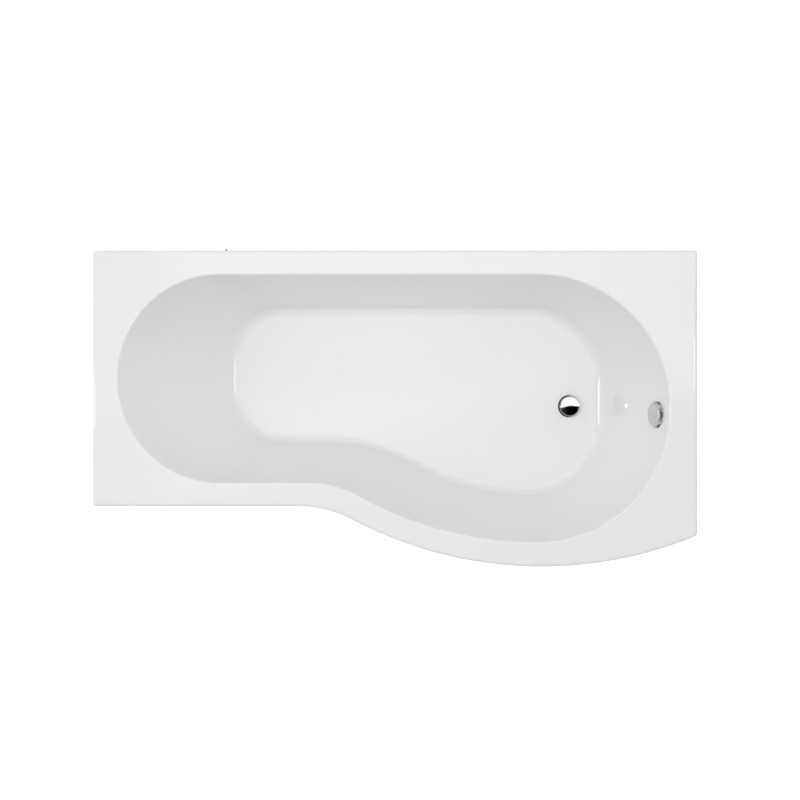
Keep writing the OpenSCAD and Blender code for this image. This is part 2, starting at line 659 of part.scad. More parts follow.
// The chrome flange with its cup, its threaded tail and the spider that holds the sleeve
module waste_flange() color("lightgray") at_waste() {
    difference() {
        union() {
            translate([0, 0, floor_z + flange_lip])
                cylinder(h = flange_h - flange_lip - 2, r = flange_d / 2);
            translate([0, 0, flange_top - 2]) cylinder(h = 2, r1 = flange_d / 2, r2 = cup_r + 1.6);
            translate([0, 0, tail_end]) cylinder(h = tail_l, r = tail_r);
        }
        translate([0, 0, cup_z]) cylinder(h = 10, r = cup_r);
        translate([0, 0, throat_z]) cylinder(h = cup_z - throat_z + eps, r1 = tail_bore_r, r2 = mouth_r);
        translate([0, 0, tail_end - 1]) cylinder(h = throat_z - tail_end + 1 + eps, r = tail_bore_r);
        difference() {
            translate([0, 0, floor_z - 1]) cylinder(h = washer_t + 1, r = washer_r + 0.3);
            translate([0, 0, floor_z - 2]) cylinder(h = washer_t + 3, r = tail_r);
        }
    }
    difference() {
        union() {
            translate([0, 0, spider_z]) cylinder(h = spider_h, r = sleeve_r + 3);
            for (a = [0:120:240]) rotate([0, 0, a]) translate([0, -spider_arm_w / 2, spider_z])
                cube([tail_bore_r + 0.5, spider_arm_w, spider_h]);
        }
        translate([0, 0, spider_z - 1]) cylinder(h = spider_h + 2, r = sleeve_r + run_gap);
    }
}

module ring(r_out, r_in, h) difference() {
    cylinder(h = h, r = r_out);
    translate([0, 0, -1]) cylinder(h = h + 2, r = r_in);
}
module flange_washer() color("dimgray") at_waste(floor_z)
    ring(washer_r, shell_hole_r, washer_t);

gasket_top = board_top;
body_top = gasket_top - gasket_t;
module waste_gasket() color("dimgray") at_waste(body_top) ring(body_rim_r, tail_r + 0.4, gasket_t);

// The chamber under the floor: it screws on the flange's tail, takes the overflow hose at its
// side and ends in a threaded outlet
chamber_r = tail_r + 6;
chamber_floor = tail_end - 2 * port_rise + 3;
port_z = chamber_floor + port_rise;
port_r = hose_d / 2 + 0.5;
port_bore_r = 10.5;
port_end = waste_x + chamber_r + 18;
outlet_bottom = chamber_floor - 4 - outlet_l;
outlet_r = tail_d / 2;
outlet_bore_r = 20;
module waste_body() color("whitesmoke") difference() {
    union() {
        at_waste(body_top - 5) cylinder(h = 5, r = body_rim_r);
        at_waste(chamber_floor - 4) cylinder(h = body_top - chamber_floor + 4, r = chamber_r);
        at_waste(outlet_bottom) cylinder(h = outlet_l + 1, r = outlet_r);
        translate([waste_x, waste_y, port_z]) rotate([0, 90, 0])
            cylinder(h = port_end - waste_x, r = port_r);
    }
    at_waste(chamber_floor) cylinder(h = body_top - chamber_floor + 1, r = tail_r + run_gap);
    at_waste(outlet_bottom - 1) cylinder(h = outlet_l + 10, r = outlet_bore_r);
    translate([waste_x, waste_y, port_z]) rotate([0, 90, 0])
        cylinder(h = port_end - waste_x + 1, r = port_bore_r);
}

// The plug, drawn open, as far above its seat as it travels
cap_z = cup_z + 0.3 + plug_travel;
hub_r = tail_bore_r - 1.7;
hub_h = 4;
seal_r = 1.5;
seal_ring_r = hub_r + seal_r + 0.15;
stem_r = stem_d / 2;
stem_end = sleeve_end + plug_travel + 2;
dome_r = (pow(cap_d / 2, 2) + pow(cap_dome, 2)) / (2 * cap_dome);
dome_steps = 10;
module plug_cap() color("silver") at_waste(cap_z) rotate_extrude() polygon(concat(
    [for (k = [0:dome_steps]) let (x = cap_d / 2 * k / dome_steps)
        [x, cap_t + cap_dome - dome_r + sqrt(pow(dome_r, 2) - x * x)]],
    [[cap_d / 2, 0], [hub_r, 0], [hub_r, -hub_h],
        [stem_r + run_gap, -hub_h], [stem_r + run_gap, 0], [0, 0]]));
module plug_seal() color("black") at_waste(cap_z - seal_r - 0.1)
    rotate_extrude() translate([seal_ring_r, 0]) circle(seal_r, $fn = 24);
module plug_stem() color("gray") at_waste(stem_end) cylinder(h = cap_z - stem_end, r = stem_r);
module plug_sleeve() color("gray") at_waste(sleeve_end) ring(sleeve_r, stem_r + run_gap,
    sleeve_top - sleeve_end);

// A round wire wound from the top of the sleeve to the underside of the plug's hub
spring_r = stem_r + spring_wire / 2 + 1;
spring_low = sleeve_top + spring_wire / 2 + 0.1;
spring_high = cap_z - hub_h - spring_wire / 2 - 0.1;
spring_steps = 8;
spring_sides = 6;
module plug_spring() {
    count = spring_turns * spring_steps;
    rise = (spring_high - spring_low) / count;
    function heading(a) = unit([-sin(a) * spring_r, cos(a) * spring_r,
        rise * spring_steps / 6.2832]);
    points = [for (k = [0:count]) let (a = 360 * k / spring_steps, out = [cos(a), sin(a), 0],
        up = cross(out, heading(a))) each
        [for (s = [0:spring_sides - 1]) let (b = 360 * s / spring_sides)
            spring_r * out + [0, 0, spring_low + rise * k]
            + spring_wire / 2 * (cos(b) * out + sin(b) * up)]];
    color("silver") at_waste() tube_skin(points, count + 1, spring_sides);
}

// The skin of a solid tube from the points of its rings
module tube_skin(points, rings, sides) {
    walls = [for (j = [0:rings - 2], s = [0:sides - 1]) let (t = (s + 1) % sides) each
        [[j * sides + s, j * sides + t, (j + 1) * sides + t],
         [j * sides + s, (j + 1) * sides + t, (j + 1) * sides + s]]];
    caps = [for (s = [1:sides - 2]) each [[0, s + 1, s],
        [(rings - 1) * sides, (rings - 1) * sides + s, (rings - 1) * sides + s + 1]]];
    polyhedron(points, concat(walls, caps), convexity = 10);
}

// Overflow

cover_r = cover_d / 2;
cover_wall = 3;
cover_face = 2.2;
insert_r = 31;
insert_t = 3;
stand_off = 0.4;
insert_end = -layer_3 - overflow_gasket_t - 15;
housing_r = 31;
housing_back = -layer_3 - overflow_gasket_t - housing_depth;

// The chrome cover: a shallow drum with slots round its side and three clips inside
module overflow_cover() color("silver") at_overflow() {
    difference() {
        union() {
            translate([0, 0, stand_off]) cylinder(h = cover_h - stand_off - 2, r = cover_r);
            translate([0, 0, cover_h - 2]) cylinder(h = 2, r1 = cover_r, r2 = cover_r - 3);
        }
        translate([0, 0, -1]) cylinder(h = cover_h + 1 - cover_face, r = cover_r - cover_wall);
        for (k = [0:cover_slots - 1]) rotate([0, 0, 360 * k / cover_slots])
            translate([cover_r - cover_wall - 1, -cover_slot_w / 2, stand_off + 1.6])
                cube([cover_wall + 2, cover_slot_w, cover_h - cover_face - stand_off - 3]);
    }
    difference() {
        for (k = [0:2]) rotate([0, 0, 120 * k + 30]) translate([insert_r - 2, -4, stand_off + insert_t + 0.3])
            cube([cover_r - cover_wall - insert_r + 2.5, 8, cover_h - cover_face - stand_off - insert_t]);
        translate([0, 0, -1]) ring(2 * cover_r, cover_r - 1, 40);
    }
}

// The threaded insert that clamps the wall between its rim and the housing
module overflow_insert() color("lightgray") at_overflow() difference() {
    union() {
        translate([0, 0, stand_off]) cylinder(h = insert_t, r = insert_r);
        translate([0, 0, insert_end]) cylinder(h = stand_off - insert_end + 1, r = tail_r);
    }
    translate([0, 0, insert_end - 1]) cylinder(h = 60, r = tail_bore_r);
}
module overflow_gasket() color("dimgray") at_overflow()
    translate([0, 0, -layer_3 - bond_gap - overflow_gasket_t])
        ring(housing_r + 2, tail_r + 0.4, overflow_gasket_t);

// The housing behind the wall, with a tail that points straight down for the hose
housing_mid = overflow_seat
    + (-layer_3 - overflow_gasket_t - housing_depth / 2) * overflow_out;
hose_a = housing_mid - [0, 0, housing_r + 14];
module overflow_housing() color("whitesmoke") {
    face = -layer_3 - 2 * bond_gap - overflow_gasket_t;
    difference() {
        union() {
            at_overflow() translate([0, 0, housing_back])
                cylinder(h = face - housing_back, r = housing_r - 3);
            at_overflow() translate([0, 0, face - 5]) cylinder(h = 5, r = housing_r + 2);
            translate(hose_a) cylinder(h = housing_mid.z - hose_a.z, r = port_r);
        }
        at_overflow() translate([0, 0, housing_back + 2.5])
            cylinder(h = 60, r = tail_r + run_gap);
        translate(hose_a - [0, 0, 1]) cylinder(h = housing_mid.z - hose_a.z + 1, r = port_bore_r);
    }
}

// A nut at each end of the hose: it screws on the port and closes round the hose
nut_grip = 12;
hose_nut_r = port_r + 4;
module hose_nut() difference() {
    union() {
        cylinder(h = nut_grip, r = hose_nut_r);
        translate([0, 0, nut_grip]) cylinder(h = 5, r1 = hose_nut_r, r2 = hose_nut_r - 2);
        for (a = [0:30:330]) rotate([0, 0, a]) translate([hose_nut_r, 0, 0])
            cylinder(h = nut_grip, r = 1.2, $fn = 16);
    }
    translate([0, 0, -1]) cylinder(h = nut_grip + 1, r = port_r + run_gap);
    translate([0, 0, nut_grip - 1]) cylinder(h = 8, r = hose_cuff_corner_r + 0.3);
}
module upper_hose_nut() color("dimgray") translate(hose_a + [0, 0, nut_grip])
    rotate([180, 0, 0]) hose_nut();
module lower_hose_nut() color("dimgray") translate([port_end - nut_grip, waste_y, port_z])
    rotate([0, 90, 0]) hose_nut();

// The hose: straight down out of the housing, round one bend and straight into the port
hose_cuff_r = hose_d / 2 - 2;
hose_sides = 8;
hose_cuff_corner_r = hose_cuff_r / cos(180 / hose_sides);
hose_end_l = hose_d;
hose_b = [port_end, waste_y, port_z];
hose_pull_a = 170;
hose_pull_b = 110;
function hose_curve(t) = let (
    p = hose_a - [0, 0, hose_end_l], q = p - [0, 0, hose_pull_a],
    s = hose_b + [hose_end_l, 0, 0], r = s + [hose_pull_b, 0, 0], u = 1 - t)
    p * u * u * u + 3 * q * u * u * t + 3 * r * u * t * t + s * t * t * t;
function hose_heading(t) = unit(hose_curve(min(1, t + 0.01)) - hose_curve(max(0, t - 0.01)));
function hose_ring(c, d, r) = let (u = unit(cross([0, 1, 0], d)), v = cross(d, u))
    [for (s = [0:hose_sides - 1]) let (a = 360 * (s + 0.5) / hose_sides)
        c + r / cos(180 / hose_sides) * (cos(a) * u + sin(a) * v)];
module overflow_hose() {
    down = [0, 0, -1];
    left = [-1, 0, 0];
    half = hose_ribs * 2;
    outer = concat([hose_ring(hose_a, down, hose_cuff_r)],
        [for (k = [0:half - 1]) let (t = (k + 0.5) / half)
            hose_ring(hose_curve(t), hose_heading(t), k % 2 == 0 ? hose_cuff_r : hose_d / 2 - 0.6)],
        [hose_ring(hose_b, left, hose_cuff_r)]);
    bore = concat([hose_ring(hose_a, down, hose_bore_d / 2)],
        [for (k = [0:20]) hose_ring(hose_curve(k / 20), hose_heading(k / 20), hose_bore_d / 2)],
        [hose_ring(hose_b, left, hose_bore_d / 2)]);
    n = hose_sides;
    m = len(outer);
    b = n * m;
    function quad(p, q, r, s) = [[p, r, q], [p, s, r]];
    walls = [for (j = [0:m - 2], s = [0:n - 1]) let (t = (s + 1) % n) each
        quad(j * n + s, j * n + t, (j + 1) * n + t, (j + 1) * n + s)];
    bores = [for (j = [0:len(bore) - 2], s = [0:n - 1]) let (t = (s + 1) % n) each
        quad(b + j * n + t, b + j * n + s, b + (j + 1) * n + s, b + (j + 1) * n + t)];
    last = (m - 1) * n;
    bore_last = b + (len(bore) - 1) * n;
    ends = [for (s = [0:n - 1]) let (t = (s + 1) % n) each concat(
        quad(t, s, b + s, b + t), quad(last + s, last + t, bore_last + t, bore_last + s))];
    color("lightgray") polyhedron(concat(flat_list(outer), flat_list(bore)),
        concat(walls, bores, ends), convexity = 10);
}

acrylic_shell();
glass_fibre_backing();
baseboard();
back_batten();
front_batten();
head_batten();
tap_end_batten();
bow_batten();
head_leg_channel();
tap_leg_channel();
centre_leg_bracket();
leg_nuts();
leg_screws();
foot_pad_1();
foot_pad_2();
foot_pad_3();
foot_pad_4();
foot_pad_5();
foot_stud_1();
foot_stud_2();
foot_stud_3();
foot_stud_4();
foot_stud_5();
wall_bracket_head();
wall_bracket_tap();
bracket_screws();
waste_flange();
flange_washer();
waste_gasket();
waste_body();
plug_cap();
plug_seal();
plug_stem();
plug_spring();
plug_sleeve();
overflow_cover();
overflow_insert();
overflow_gasket();
overflow_housing();
overflow_hose();
upper_hose_nut();
lower_hose_nut();
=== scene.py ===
# %% [markdown]
# A b-shaped shower bath, dressed in Blender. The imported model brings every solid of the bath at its
# real place, in metres, with +Z up, the tap end at +X and the straight back edge at +Y. Here each
# solid gets the smooth skin, the small roundings and the surface that the real piece has. The solids
# themselves stay where they are: a finer piece stands in for one, or the solid gets a finish.

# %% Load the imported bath
import math
import bpy
from mathutils import Matrix, Vector


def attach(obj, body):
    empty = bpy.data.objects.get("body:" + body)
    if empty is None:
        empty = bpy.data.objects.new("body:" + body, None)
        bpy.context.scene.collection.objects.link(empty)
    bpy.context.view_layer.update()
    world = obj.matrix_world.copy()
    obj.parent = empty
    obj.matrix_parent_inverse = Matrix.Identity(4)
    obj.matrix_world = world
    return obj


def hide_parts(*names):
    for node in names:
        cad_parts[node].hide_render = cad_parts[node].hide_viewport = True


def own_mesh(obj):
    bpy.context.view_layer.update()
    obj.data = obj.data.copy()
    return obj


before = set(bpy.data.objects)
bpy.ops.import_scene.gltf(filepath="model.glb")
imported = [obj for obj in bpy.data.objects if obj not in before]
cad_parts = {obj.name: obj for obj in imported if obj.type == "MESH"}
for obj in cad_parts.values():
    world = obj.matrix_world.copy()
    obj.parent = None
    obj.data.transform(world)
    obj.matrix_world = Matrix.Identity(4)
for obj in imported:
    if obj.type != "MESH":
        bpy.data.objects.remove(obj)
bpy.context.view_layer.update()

scene = bpy.context.scene

# %% [markdown]
# The photograph was taken from straight above, about six and a half metres over the rim and almost
# over the middle of the bath. That distance shows in how far the walls lean outwards in it. A long
# lens gives the same picture: its field is 2.25 metres wide at the level of the rim.

# %% Set the camera
mm = 0.001
rim_z = 540
view_height, view_width = 6.5, 2.2494
camera_x, camera_y = 0.0135, 0.024

lens = bpy.data.cameras.new("straight_above")
lens.sensor_width = 36
lens.lens = lens.sensor_width * view_height / view_width
lens.clip_end = 60
camera = bpy.data.objects.new("camera_above", lens)
camera.location = (camera_x, camera_y, rim_z * mm + view_height)
scene.collection.objects.link(camera)
scene.camera = camera
print("lens", round(lens.lens, 1), "mm")

# %% [markdown]
# A finish is a material built from nodes. Two small classes keep that readable. A Reading is what
# comes out of a node, and it takes part in sums like a number: each sum adds its own Math node. A
# Finish owns the material, adds any other node by its type, and joins readings to the shader.

# %% Write shader sums as plain expressions
class Reading:
    """A value that changes over a surface: an output socket that can be used in sums."""

    def __init__(self, finish, socket):
        self.finish, self.socket = finish, socket

    def sum(self, operation, first, second=None):
        values = [first] if second is None else [first, second]
        return self.finish.node("Math", {"operation": operation}, dict(enumerate(values)))

    def __add__(self, other): return self.sum("ADD", self, other)
    def __radd__(self, other): return self.sum("ADD", other, self)
    def __sub__(self, other): return self.sum("SUBTRACT", self, other)
    def __rsub__(self, other): return self.sum("SUBTRACT", other, self)
    def __mul__(self, other): return self.sum("MULTIPLY", self, other)
    def __rmul__(self, other): return self.sum("MULTIPLY", other, self)
    def __truediv__(self, other): return self.sum("DIVIDE", self, other)
    def __gt__(self, other): return self.sum("GREATER_THAN", self, other)
    def part(self): return self.sum("FRACT", self)
    def kept(self): return self.sum("MAXIMUM", self.sum("MINIMUM", self, 1.0), 0.0)


class Nodes:
    """A node tree that grows one node at a time."""

    def __init__(self, tree):
        self.tree = tree

    def node(self, kind, settings=None, inputs=None, output=0):
        made = self.tree.nodes.new("ShaderNode" + kind)
        for name, value in (settings or {}).items():
            if name == "stops":
                ramp = made.color_ramp.elements
                while len(ramp) < len(value):
                    ramp.new(0.5)
                for stop, (place, colour) in zip(ramp, value):
                    stop.position, stop.color = place, (*colour, 1)
            else:
                setattr(made, name, value)
        for name, value in (inputs or {}).items():
            if isinstance(value, Reading):
                self.tree.links.new(value.socket, made.inputs[name])
            else:
                made.inputs[name].default_value = value
        return Reading(self, made.outputs[output])

    def straight_rays(self):
        """One for rays from the camera, from gloss and through glass, and nothing for the rest."""
        rays = [self.node("LightPath", output=name)
                for name in ("Is Camera Ray", "Is Glossy Ray", "Is Transmission Ray")]
        return (rays[0] + rays[1] + rays[2]).kept()


class Finish(Nodes):
    """A material for one kind of surface, with its shader's even values set at once."""

    def __init__(self, name, **even):
        self.name, self.material = name, bpy.data.materials.new(name)
        self.material.use_nodes = True
        super().__init__(self.material.node_tree)
        self.shader = self.tree.nodes["Principled BSDF"]
        self.output = self.tree.nodes["Material Output"]
        for socket, value in even.items():
            self.shader.inputs[socket.replace("_", " ")].default_value = value

    def place(self, scale=(1, 1, 1), turn=(0, 0, 0)):
        here = self.node("TexCoord", output="Object")
        return self.node("Mapping", {}, {"Vector": here, "Scale": scale,
                                         "Rotation": [math.radians(a) for a in turn]})

    def noise(self, at, scale, detail=3.0, rough=0.5):
        return self.node("TexNoise", {}, {"Vector": at, "Scale": scale, "Detail": detail,
                                          "Roughness": rough}, "Fac")

    def cells(self, at, scale, feature="F1", output="Distance"):
        return self.node("TexVoronoi", {"feature": feature}, {"Vector": at, "Scale": scale}, output)

    def axes(self, at, names):
        return [self.node("SeparateXYZ", {}, {"Vector": at}, name) for name in names]

    def ramp(self, reading, *stops):
        return self.node("ValToRGB", {"stops": stops}, {"Fac": reading}, "Color")

    def blend(self, share, first, second):
        colours = [(*c, 1) if isinstance(c, tuple) else c for c in (first, second)]
        return self.node("Mix", {"data_type": "RGBA"}, {0: share, 6: colours[0], 7: colours[1]}, 2)

    def relief(self, height, depth, strength=1.0):
        return self.node("Bump", {}, {"Height": height, "Distance": depth, "Strength": strength})

    def show(self, shader):
        self.tree.links.new(shader.socket, self.output.inputs["Surface"])

    def feed(self, **readings):
        for socket, reading in readings.items():
            self.tree.links.new(reading.socket, self.shader.inputs[socket.replace("_", " ")])
        return self


def clouded(name, scale, detail, colours, rough, depth, stretch=(1, 1, 1), strength=1.0, grain=None,
            **even):
    """A finish whose colour, roughness and fine relief follow one noise. With a grain, cells of
    that scale make the relief."""
    finish = Finish(name, **even)
    film = finish.noise(finish.place(stretch), scale, detail)
    height = finish.cells(finish.place(), grain) if grain else film
    return finish.feed(Base_Color=finish.blend(film, *colours), Roughness=rough[0] + rough[1] * film,
                       Normal=finish.relief(height, depth * mm, strength))


print("Reading, Finish and clouded are ready")

# %% [markdown]
# The tub is one sheet of white acrylic, drawn down hot into a mould. It is glossy, slightly creamy
# inside its white, and never quite flat: the sheet keeps a faint waviness that only reflections
# show. Its base colour is even within two percent, its gloss has faint cleaning marks, and a
# very shallow, very wide relief bends the reflections.

# %% Finish the acrylic
acrylic = Finish("white_acrylic", IOR=1.49)
spot = acrylic.place()
haze = acrylic.noise(spot, 5.0, 2.0)
marks = acrylic.noise(spot, 38.0, 5.0, 0.6)
acrylic.feed(
    Base_Color=acrylic.blend(haze, (0.845, 0.845, 0.842), (0.860, 0.860, 0.858)),
    Roughness=0.055 + 0.07 * (marks - 0.35).kept(),
    Normal=acrylic.relief(acrylic.noise(spot, 7.0, 1.5) + 0.06 * acrylic.noise(spot, 60.0, 2.0),
                          0.4 * mm, 0.6))
print("acrylic has", len(acrylic.tree.nodes), "nodes")

# %% [markdown]
# Selecting comes before every edit. The loader leaves all solids selected, and an operator acts on
# everything that is selected, so each step starts from nothing selected and one active piece.

# %% Select one piece, run tools on it
def nothing():
    if bpy.context.object and bpy.context.object.mode != "OBJECT":
        bpy.ops.object.mode_set(mode="OBJECT")
    bpy.ops.object.select_all(action="DESELECT")


def hold(piece):
    nothing()
    piece.select_set(True)
    bpy.context.view_layer.objects.active = piece


def named(piece, name):
    piece.name = piece.data.name = name
    return piece


def on_all(piece, *steps):
    """Runs mesh steps in edit mode, each with everything selected."""
    hold(piece)
    bpy.ops.object.mode_set(mode="EDIT")
    for step in steps:
        bpy.ops.mesh.select_all(action="SELECT")
        step()
    bpy.ops.object.mode_set(mode="OBJECT")


def merge():
    bpy.ops.mesh.remove_doubles(threshold=0.001 * mm)


def outwards():
    bpy.ops.mesh.normals_make_consistent(inside=False)


def select(piece, kind, test):
    """Picks the vertices, edges or polygons that pass the test, and opens edit mode on them."""
    hold(piece)
    modes = {"vertices": "VERT", "edges": "EDGE", "polygons": "FACE"}
    bpy.ops.object.mode_set(mode="EDIT")
    bpy.ops.mesh.select_mode(type=modes[kind])
    bpy.ops.mesh.select_all(action="DESELECT")
    bpy.ops.object.mode_set(mode="OBJECT")
    for item in getattr(piece.data, kind):
        item.select = bool(test(item))
    bpy.ops.object.mode_set(mode="EDIT")


def tool(piece, kind, **settings):
    """Adds a modifier with these settings and applies it."""
    hold(piece)
    bpy.ops.object.modifier_add(type=kind)
    for name, value in settings.items():
        setattr(piece.modifiers[-1], name, value)
    bpy.ops.object.modifier_apply(modifier=piece.modifiers[-1].name)
    return piece


def cut(piece, cutter, operation="DIFFERENCE"):
    """Takes the cutter's shape out of the piece and throws the cutter away."""
    tool(piece, "BOOLEAN", object=cutter, operation=operation, solver="EXACT")
    bpy.data.objects.remove(cutter)
    return piece


def triangles(piece):
    return sum(len(p.vertices) - 2 for p in piece.data.polygons)


# %% [markdown]
# Most round or moulded pieces here are made the same way: a circle is added, its points are set on
# the first outline, and the open edge is then extruded again and again, with each new edge set on
# the next outline. The ends are closed with a face or a middle point, or the last edge is bridged
# back to the first one where the piece is a ring.

# %% Extrude outlines into a skin
def skin(name, outlines, close="open"):
    count = len(outlines[0])
    nothing()
    bpy.ops.mesh.primitive_circle_add(vertices=count, radius=1)
    piece = named(bpy.context.object, name)
    edge = list(range(count))
    for vertex, point in zip(edge, outlines[0]):
        piece.data.vertices[vertex].co = point
    for outline in outlines[1:]:
        old = len(piece.data.vertices)
        chosen = set(edge)
        select(piece, "vertices", lambda v: v.index in chosen)
        bpy.ops.mesh.extrude_edges_move(TRANSFORM_OT_translate={"value": (0, 0, 0)})
        bpy.ops.object.mode_set(mode="OBJECT")
        copies = {}
        for e in piece.data.edges[-2 * count - 8:]:
            a, b = e.vertices
            if a < old <= b:
                copies[a] = b
            elif b < old <= a:
                copies[b] = a
        edge = [copies[v] for v in edge]
        for vertex, point in zip(edge, outline):
            piece.data.vertices[vertex].co = point
    if close == "loop":
        ends = set(edge) | set(range(count))
        select(piece, "vertices", lambda v: v.index in ends)
        bpy.ops.mesh.bridge_edge_loops()
    elif close == "caps":
        for end in (set(range(count)), set(edge)):
            select(piece, "vertices", lambda v: v.index in end)
            bpy.ops.mesh.edge_face_add()
            bpy.ops.object.mode_set(mode="OBJECT")
    on_all(piece, merge, *([] if close == "open" else [outwards]))
    return piece


def dress(piece, finish, *nodes, body="bath", slot=None, angle=32):
    """Gives a finished piece its smooth shading, finish and place in the frame. The slot is not used."""
    hold(piece)
    bpy.ops.object.transform_apply(location=True, rotation=True, scale=True)
    bpy.ops.object.shade_smooth_by_angle(angle=math.radians(angle))
    piece.data.materials.clear()
    piece.data.materials.append(finish.material)
    slot = slot or finish.name
    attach(piece, body)
    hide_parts(*nodes)
    print(piece.name, triangles(piece), "triangles")


# %% [markdown]
# The bath's outline is drawn from straight lines and arcs that touch one another: a straight back,
# round ends, a bow in front at the tap end and a hollow curve that leads into it. The rim and the
# basin have the same number of points, stretch by stretch, so that every ring can be joined to the
# next one. The sizes are those of the solids, in millimetres.

# %% Draw the outlines of rim and basin
length, width, narrow_width = 1700, 890, 720
corner_r, edge_r, lip_r, skirt_depth = 10, 8, 5, 40
bow_r, ease_r, bow_x = 1140, 325, 412
top_plan = dict(back=377, front=-210, low=-377, head=-781.5, tap=772.5,
                head_r=289.5, tap_r=373, bow=1040, ease=270)
floor_plan = dict(back=296, front=-97, low=-252, head=-486, tap=607.5,
                  head_r=161, tap_r=215, bow=690, ease=500)
finer = 4
n_back, n_tap, n_flat, n_bow, n_ease, n_front, n_head, n_corner = (
    finer * n for n in (6, 14, 2, 14, 6, 4, 12, 4))


def arc(centre, radius, start, end, count):
    turns = [math.radians(start + (end - start) * i / count) for i in range(count)]
    return [(centre[0] + radius * math.cos(a), centre[1] + radius * math.sin(a)) for a in turns]


def line(start, end, count):
    return [(start[0] + (end[0] - start[0]) * i / count, start[1] + (end[1] - start[1]) * i / count)
            for i in range(count)]


def ease_start(bow, low, front, big, small):
    """Where the hollow curve starts: it touches the straight front and the bow."""
    return bow - math.sqrt((big + small) ** 2 - (low + big - front + small) ** 2)


def basin_outline(plan, grow=0):
    back, front, low = plan["back"] + grow, plan["front"] - grow, plan["low"] - grow
    head, tap = plan["head"] - grow, plan["tap"] + grow
    hr, tr, big, small = (plan["head_r"] + grow, plan["tap_r"] + grow,
                          plan["bow"] + grow, plan["ease"] - grow)
    bow = (tap - tr, low + big)
    ease = (ease_start(bow[0], low, front, big, small), front - small)
    turn = math.degrees(math.atan2(bow[1] - ease[1], bow[0] - ease[0]))
    return (line((head + hr, back), (bow[0], back), n_back)
            + arc((bow[0], back - tr), tr, 90, 0, n_tap)
            + line((tap, back - tr), (tap, low + tr), n_flat)
            + arc((bow[0], low + tr), tr, 0, -90, n_tap)
            + arc(bow, big, -90, turn - 180, n_bow)
            + arc(ease, small, turn, 90, n_ease)
            + line((ease[0], front), (head + hr, front), n_front)
            + arc((head + hr, front + hr), hr, -90, -180, n_head)
            + line((head, front + hr), (head, back - hr), n_flat)
            + arc((head + hr, back - hr), hr, 180, 90, n_head))


back_y, front_y = width / 2, width / 2 - narrow_width
bow_centre = (bow_x, bow_r - width / 2)
bow_corner = (length / 2 - corner_r,
              bow_centre[1] - math.sqrt((bow_r - corner_r) ** 2 - (length / 2 - corner_r - bow_x) ** 2))
ease_centre = (ease_start(bow_x, -width / 2, front_y, bow_r, ease_r), front_y - ease_r)


def rim_outline(inset):
    """The rim's outer edge, drawn in by inset, with its points level with the basin's."""
    c, run_t, run_h = corner_r - inset, (n_tap - n_corner) // 2, (n_head - n_corner) // 2
    back, front, head, tap = back_y - inset, front_y + inset, inset - length / 2, length / 2 - inset
    x_h, x_t = top_plan["head"] + top_plan["head_r"], top_plan["tap"] - top_plan["tap_r"]
    y_a, y_b = top_plan["back"] - top_plan["tap_r"], top_plan["low"] + top_plan["tap_r"]
    y_c, y_d = top_plan["front"] + top_plan["head_r"], top_plan["back"] - top_plan["head_r"]
    corner_x, corner_y = length / 2 - corner_r, back_y - corner_r
    big, small = bow_r - inset, ease_r + inset
    turn = math.degrees(math.atan2(bow_centre[1] - ease_centre[1], bow_centre[0] - ease_centre[0]))
    corner_turn = math.degrees(math.atan2(bow_corner[1] - bow_centre[1], bow_corner[0] - bow_centre[0]))
    middle_turn = -math.degrees(math.acos((x_t - bow_centre[0]) / big))
    return (line((x_h, back), (x_t, back), n_back)
            + line((x_t, back), (corner_x, back), run_t)
            + arc((corner_x, corner_y), c, 90, 0, n_corner)
            + line((tap, corner_y), (tap, y_a), run_t)
            + line((tap, y_a), (tap, y_b), n_flat)
            + line((tap, y_b), (tap, bow_corner[1]), run_t)
            + arc(bow_corner, c, 0, corner_turn, n_corner)
            + arc(bow_centre, big, corner_turn, middle_turn, run_t)
            + arc(bow_centre, big, middle_turn, turn - 180, n_bow)
            + arc(ease_centre, small, turn, 90, n_ease)
            + line((ease_centre[0], front), (x_h, front), n_front)
            + line((x_h, front), (-corner_x, front), run_h)
            + arc((-corner_x, front_y + corner_r), c, -90, -180, n_corner)
            + line((head, front_y + corner_r), (head, y_c), run_h)
            + line((head, y_c), (head, y_d), n_flat)
            + line((head, y_d), (head, corner_y), run_h)
            + arc((-corner_x, corner_y), c, 180, 90, n_corner)
            + line((-corner_x, back), (x_h, back), run_h))


print(len(rim_outline(0)), "points on the rim,", len(basin_outline(top_plan)), "on the basin")

# %% [markdown]
# The rings of the show face come next. From outside to inside they climb the turned-down edge,
# go round its rounding, cross the flat rim, go over the lip, down the leaning wall, round the curve
# at its foot and over the floor, which falls a little towards the waste. The lip and the foot
# are curves between two straight runs. The wall at the head end is hollow, like a bather's back.

# %% Work out the rings of the tub
floor_z, floor_fall, foot_blend, head_hollow = 155, 6, 22, 9
waste = (518.5, 5.5)
level_x = waste[0] - 140
floor_middle = (60, 70)


def floor_at(x):
    return floor_z + floor_fall * max(0, (level_x - x) / (level_x - floor_plan["head"])) ** 2


def mix(p, q, share):
    return tuple(a + (b - a) * share for a, b in zip(p, q))


def bend(a, b, c, t):
    return mix(mix(a, b, t), mix(b, c, t), t)


top_ring = [(x, y, rim_z) for x, y in basin_outline(top_plan)]
foot_ring = [(x, y, floor_at(x)) for x, y in basin_outline(floor_plan)]
floor_ring = [(x, y, floor_at(x)) for x, y in basin_outline(floor_plan, -foot_blend)]
outward = [(a[0] - b[0], a[1] - b[1]) for a, b in zip(basin_outline(top_plan, 1), top_ring)]
head_end = top_plan["head"] + top_plan["head_r"]


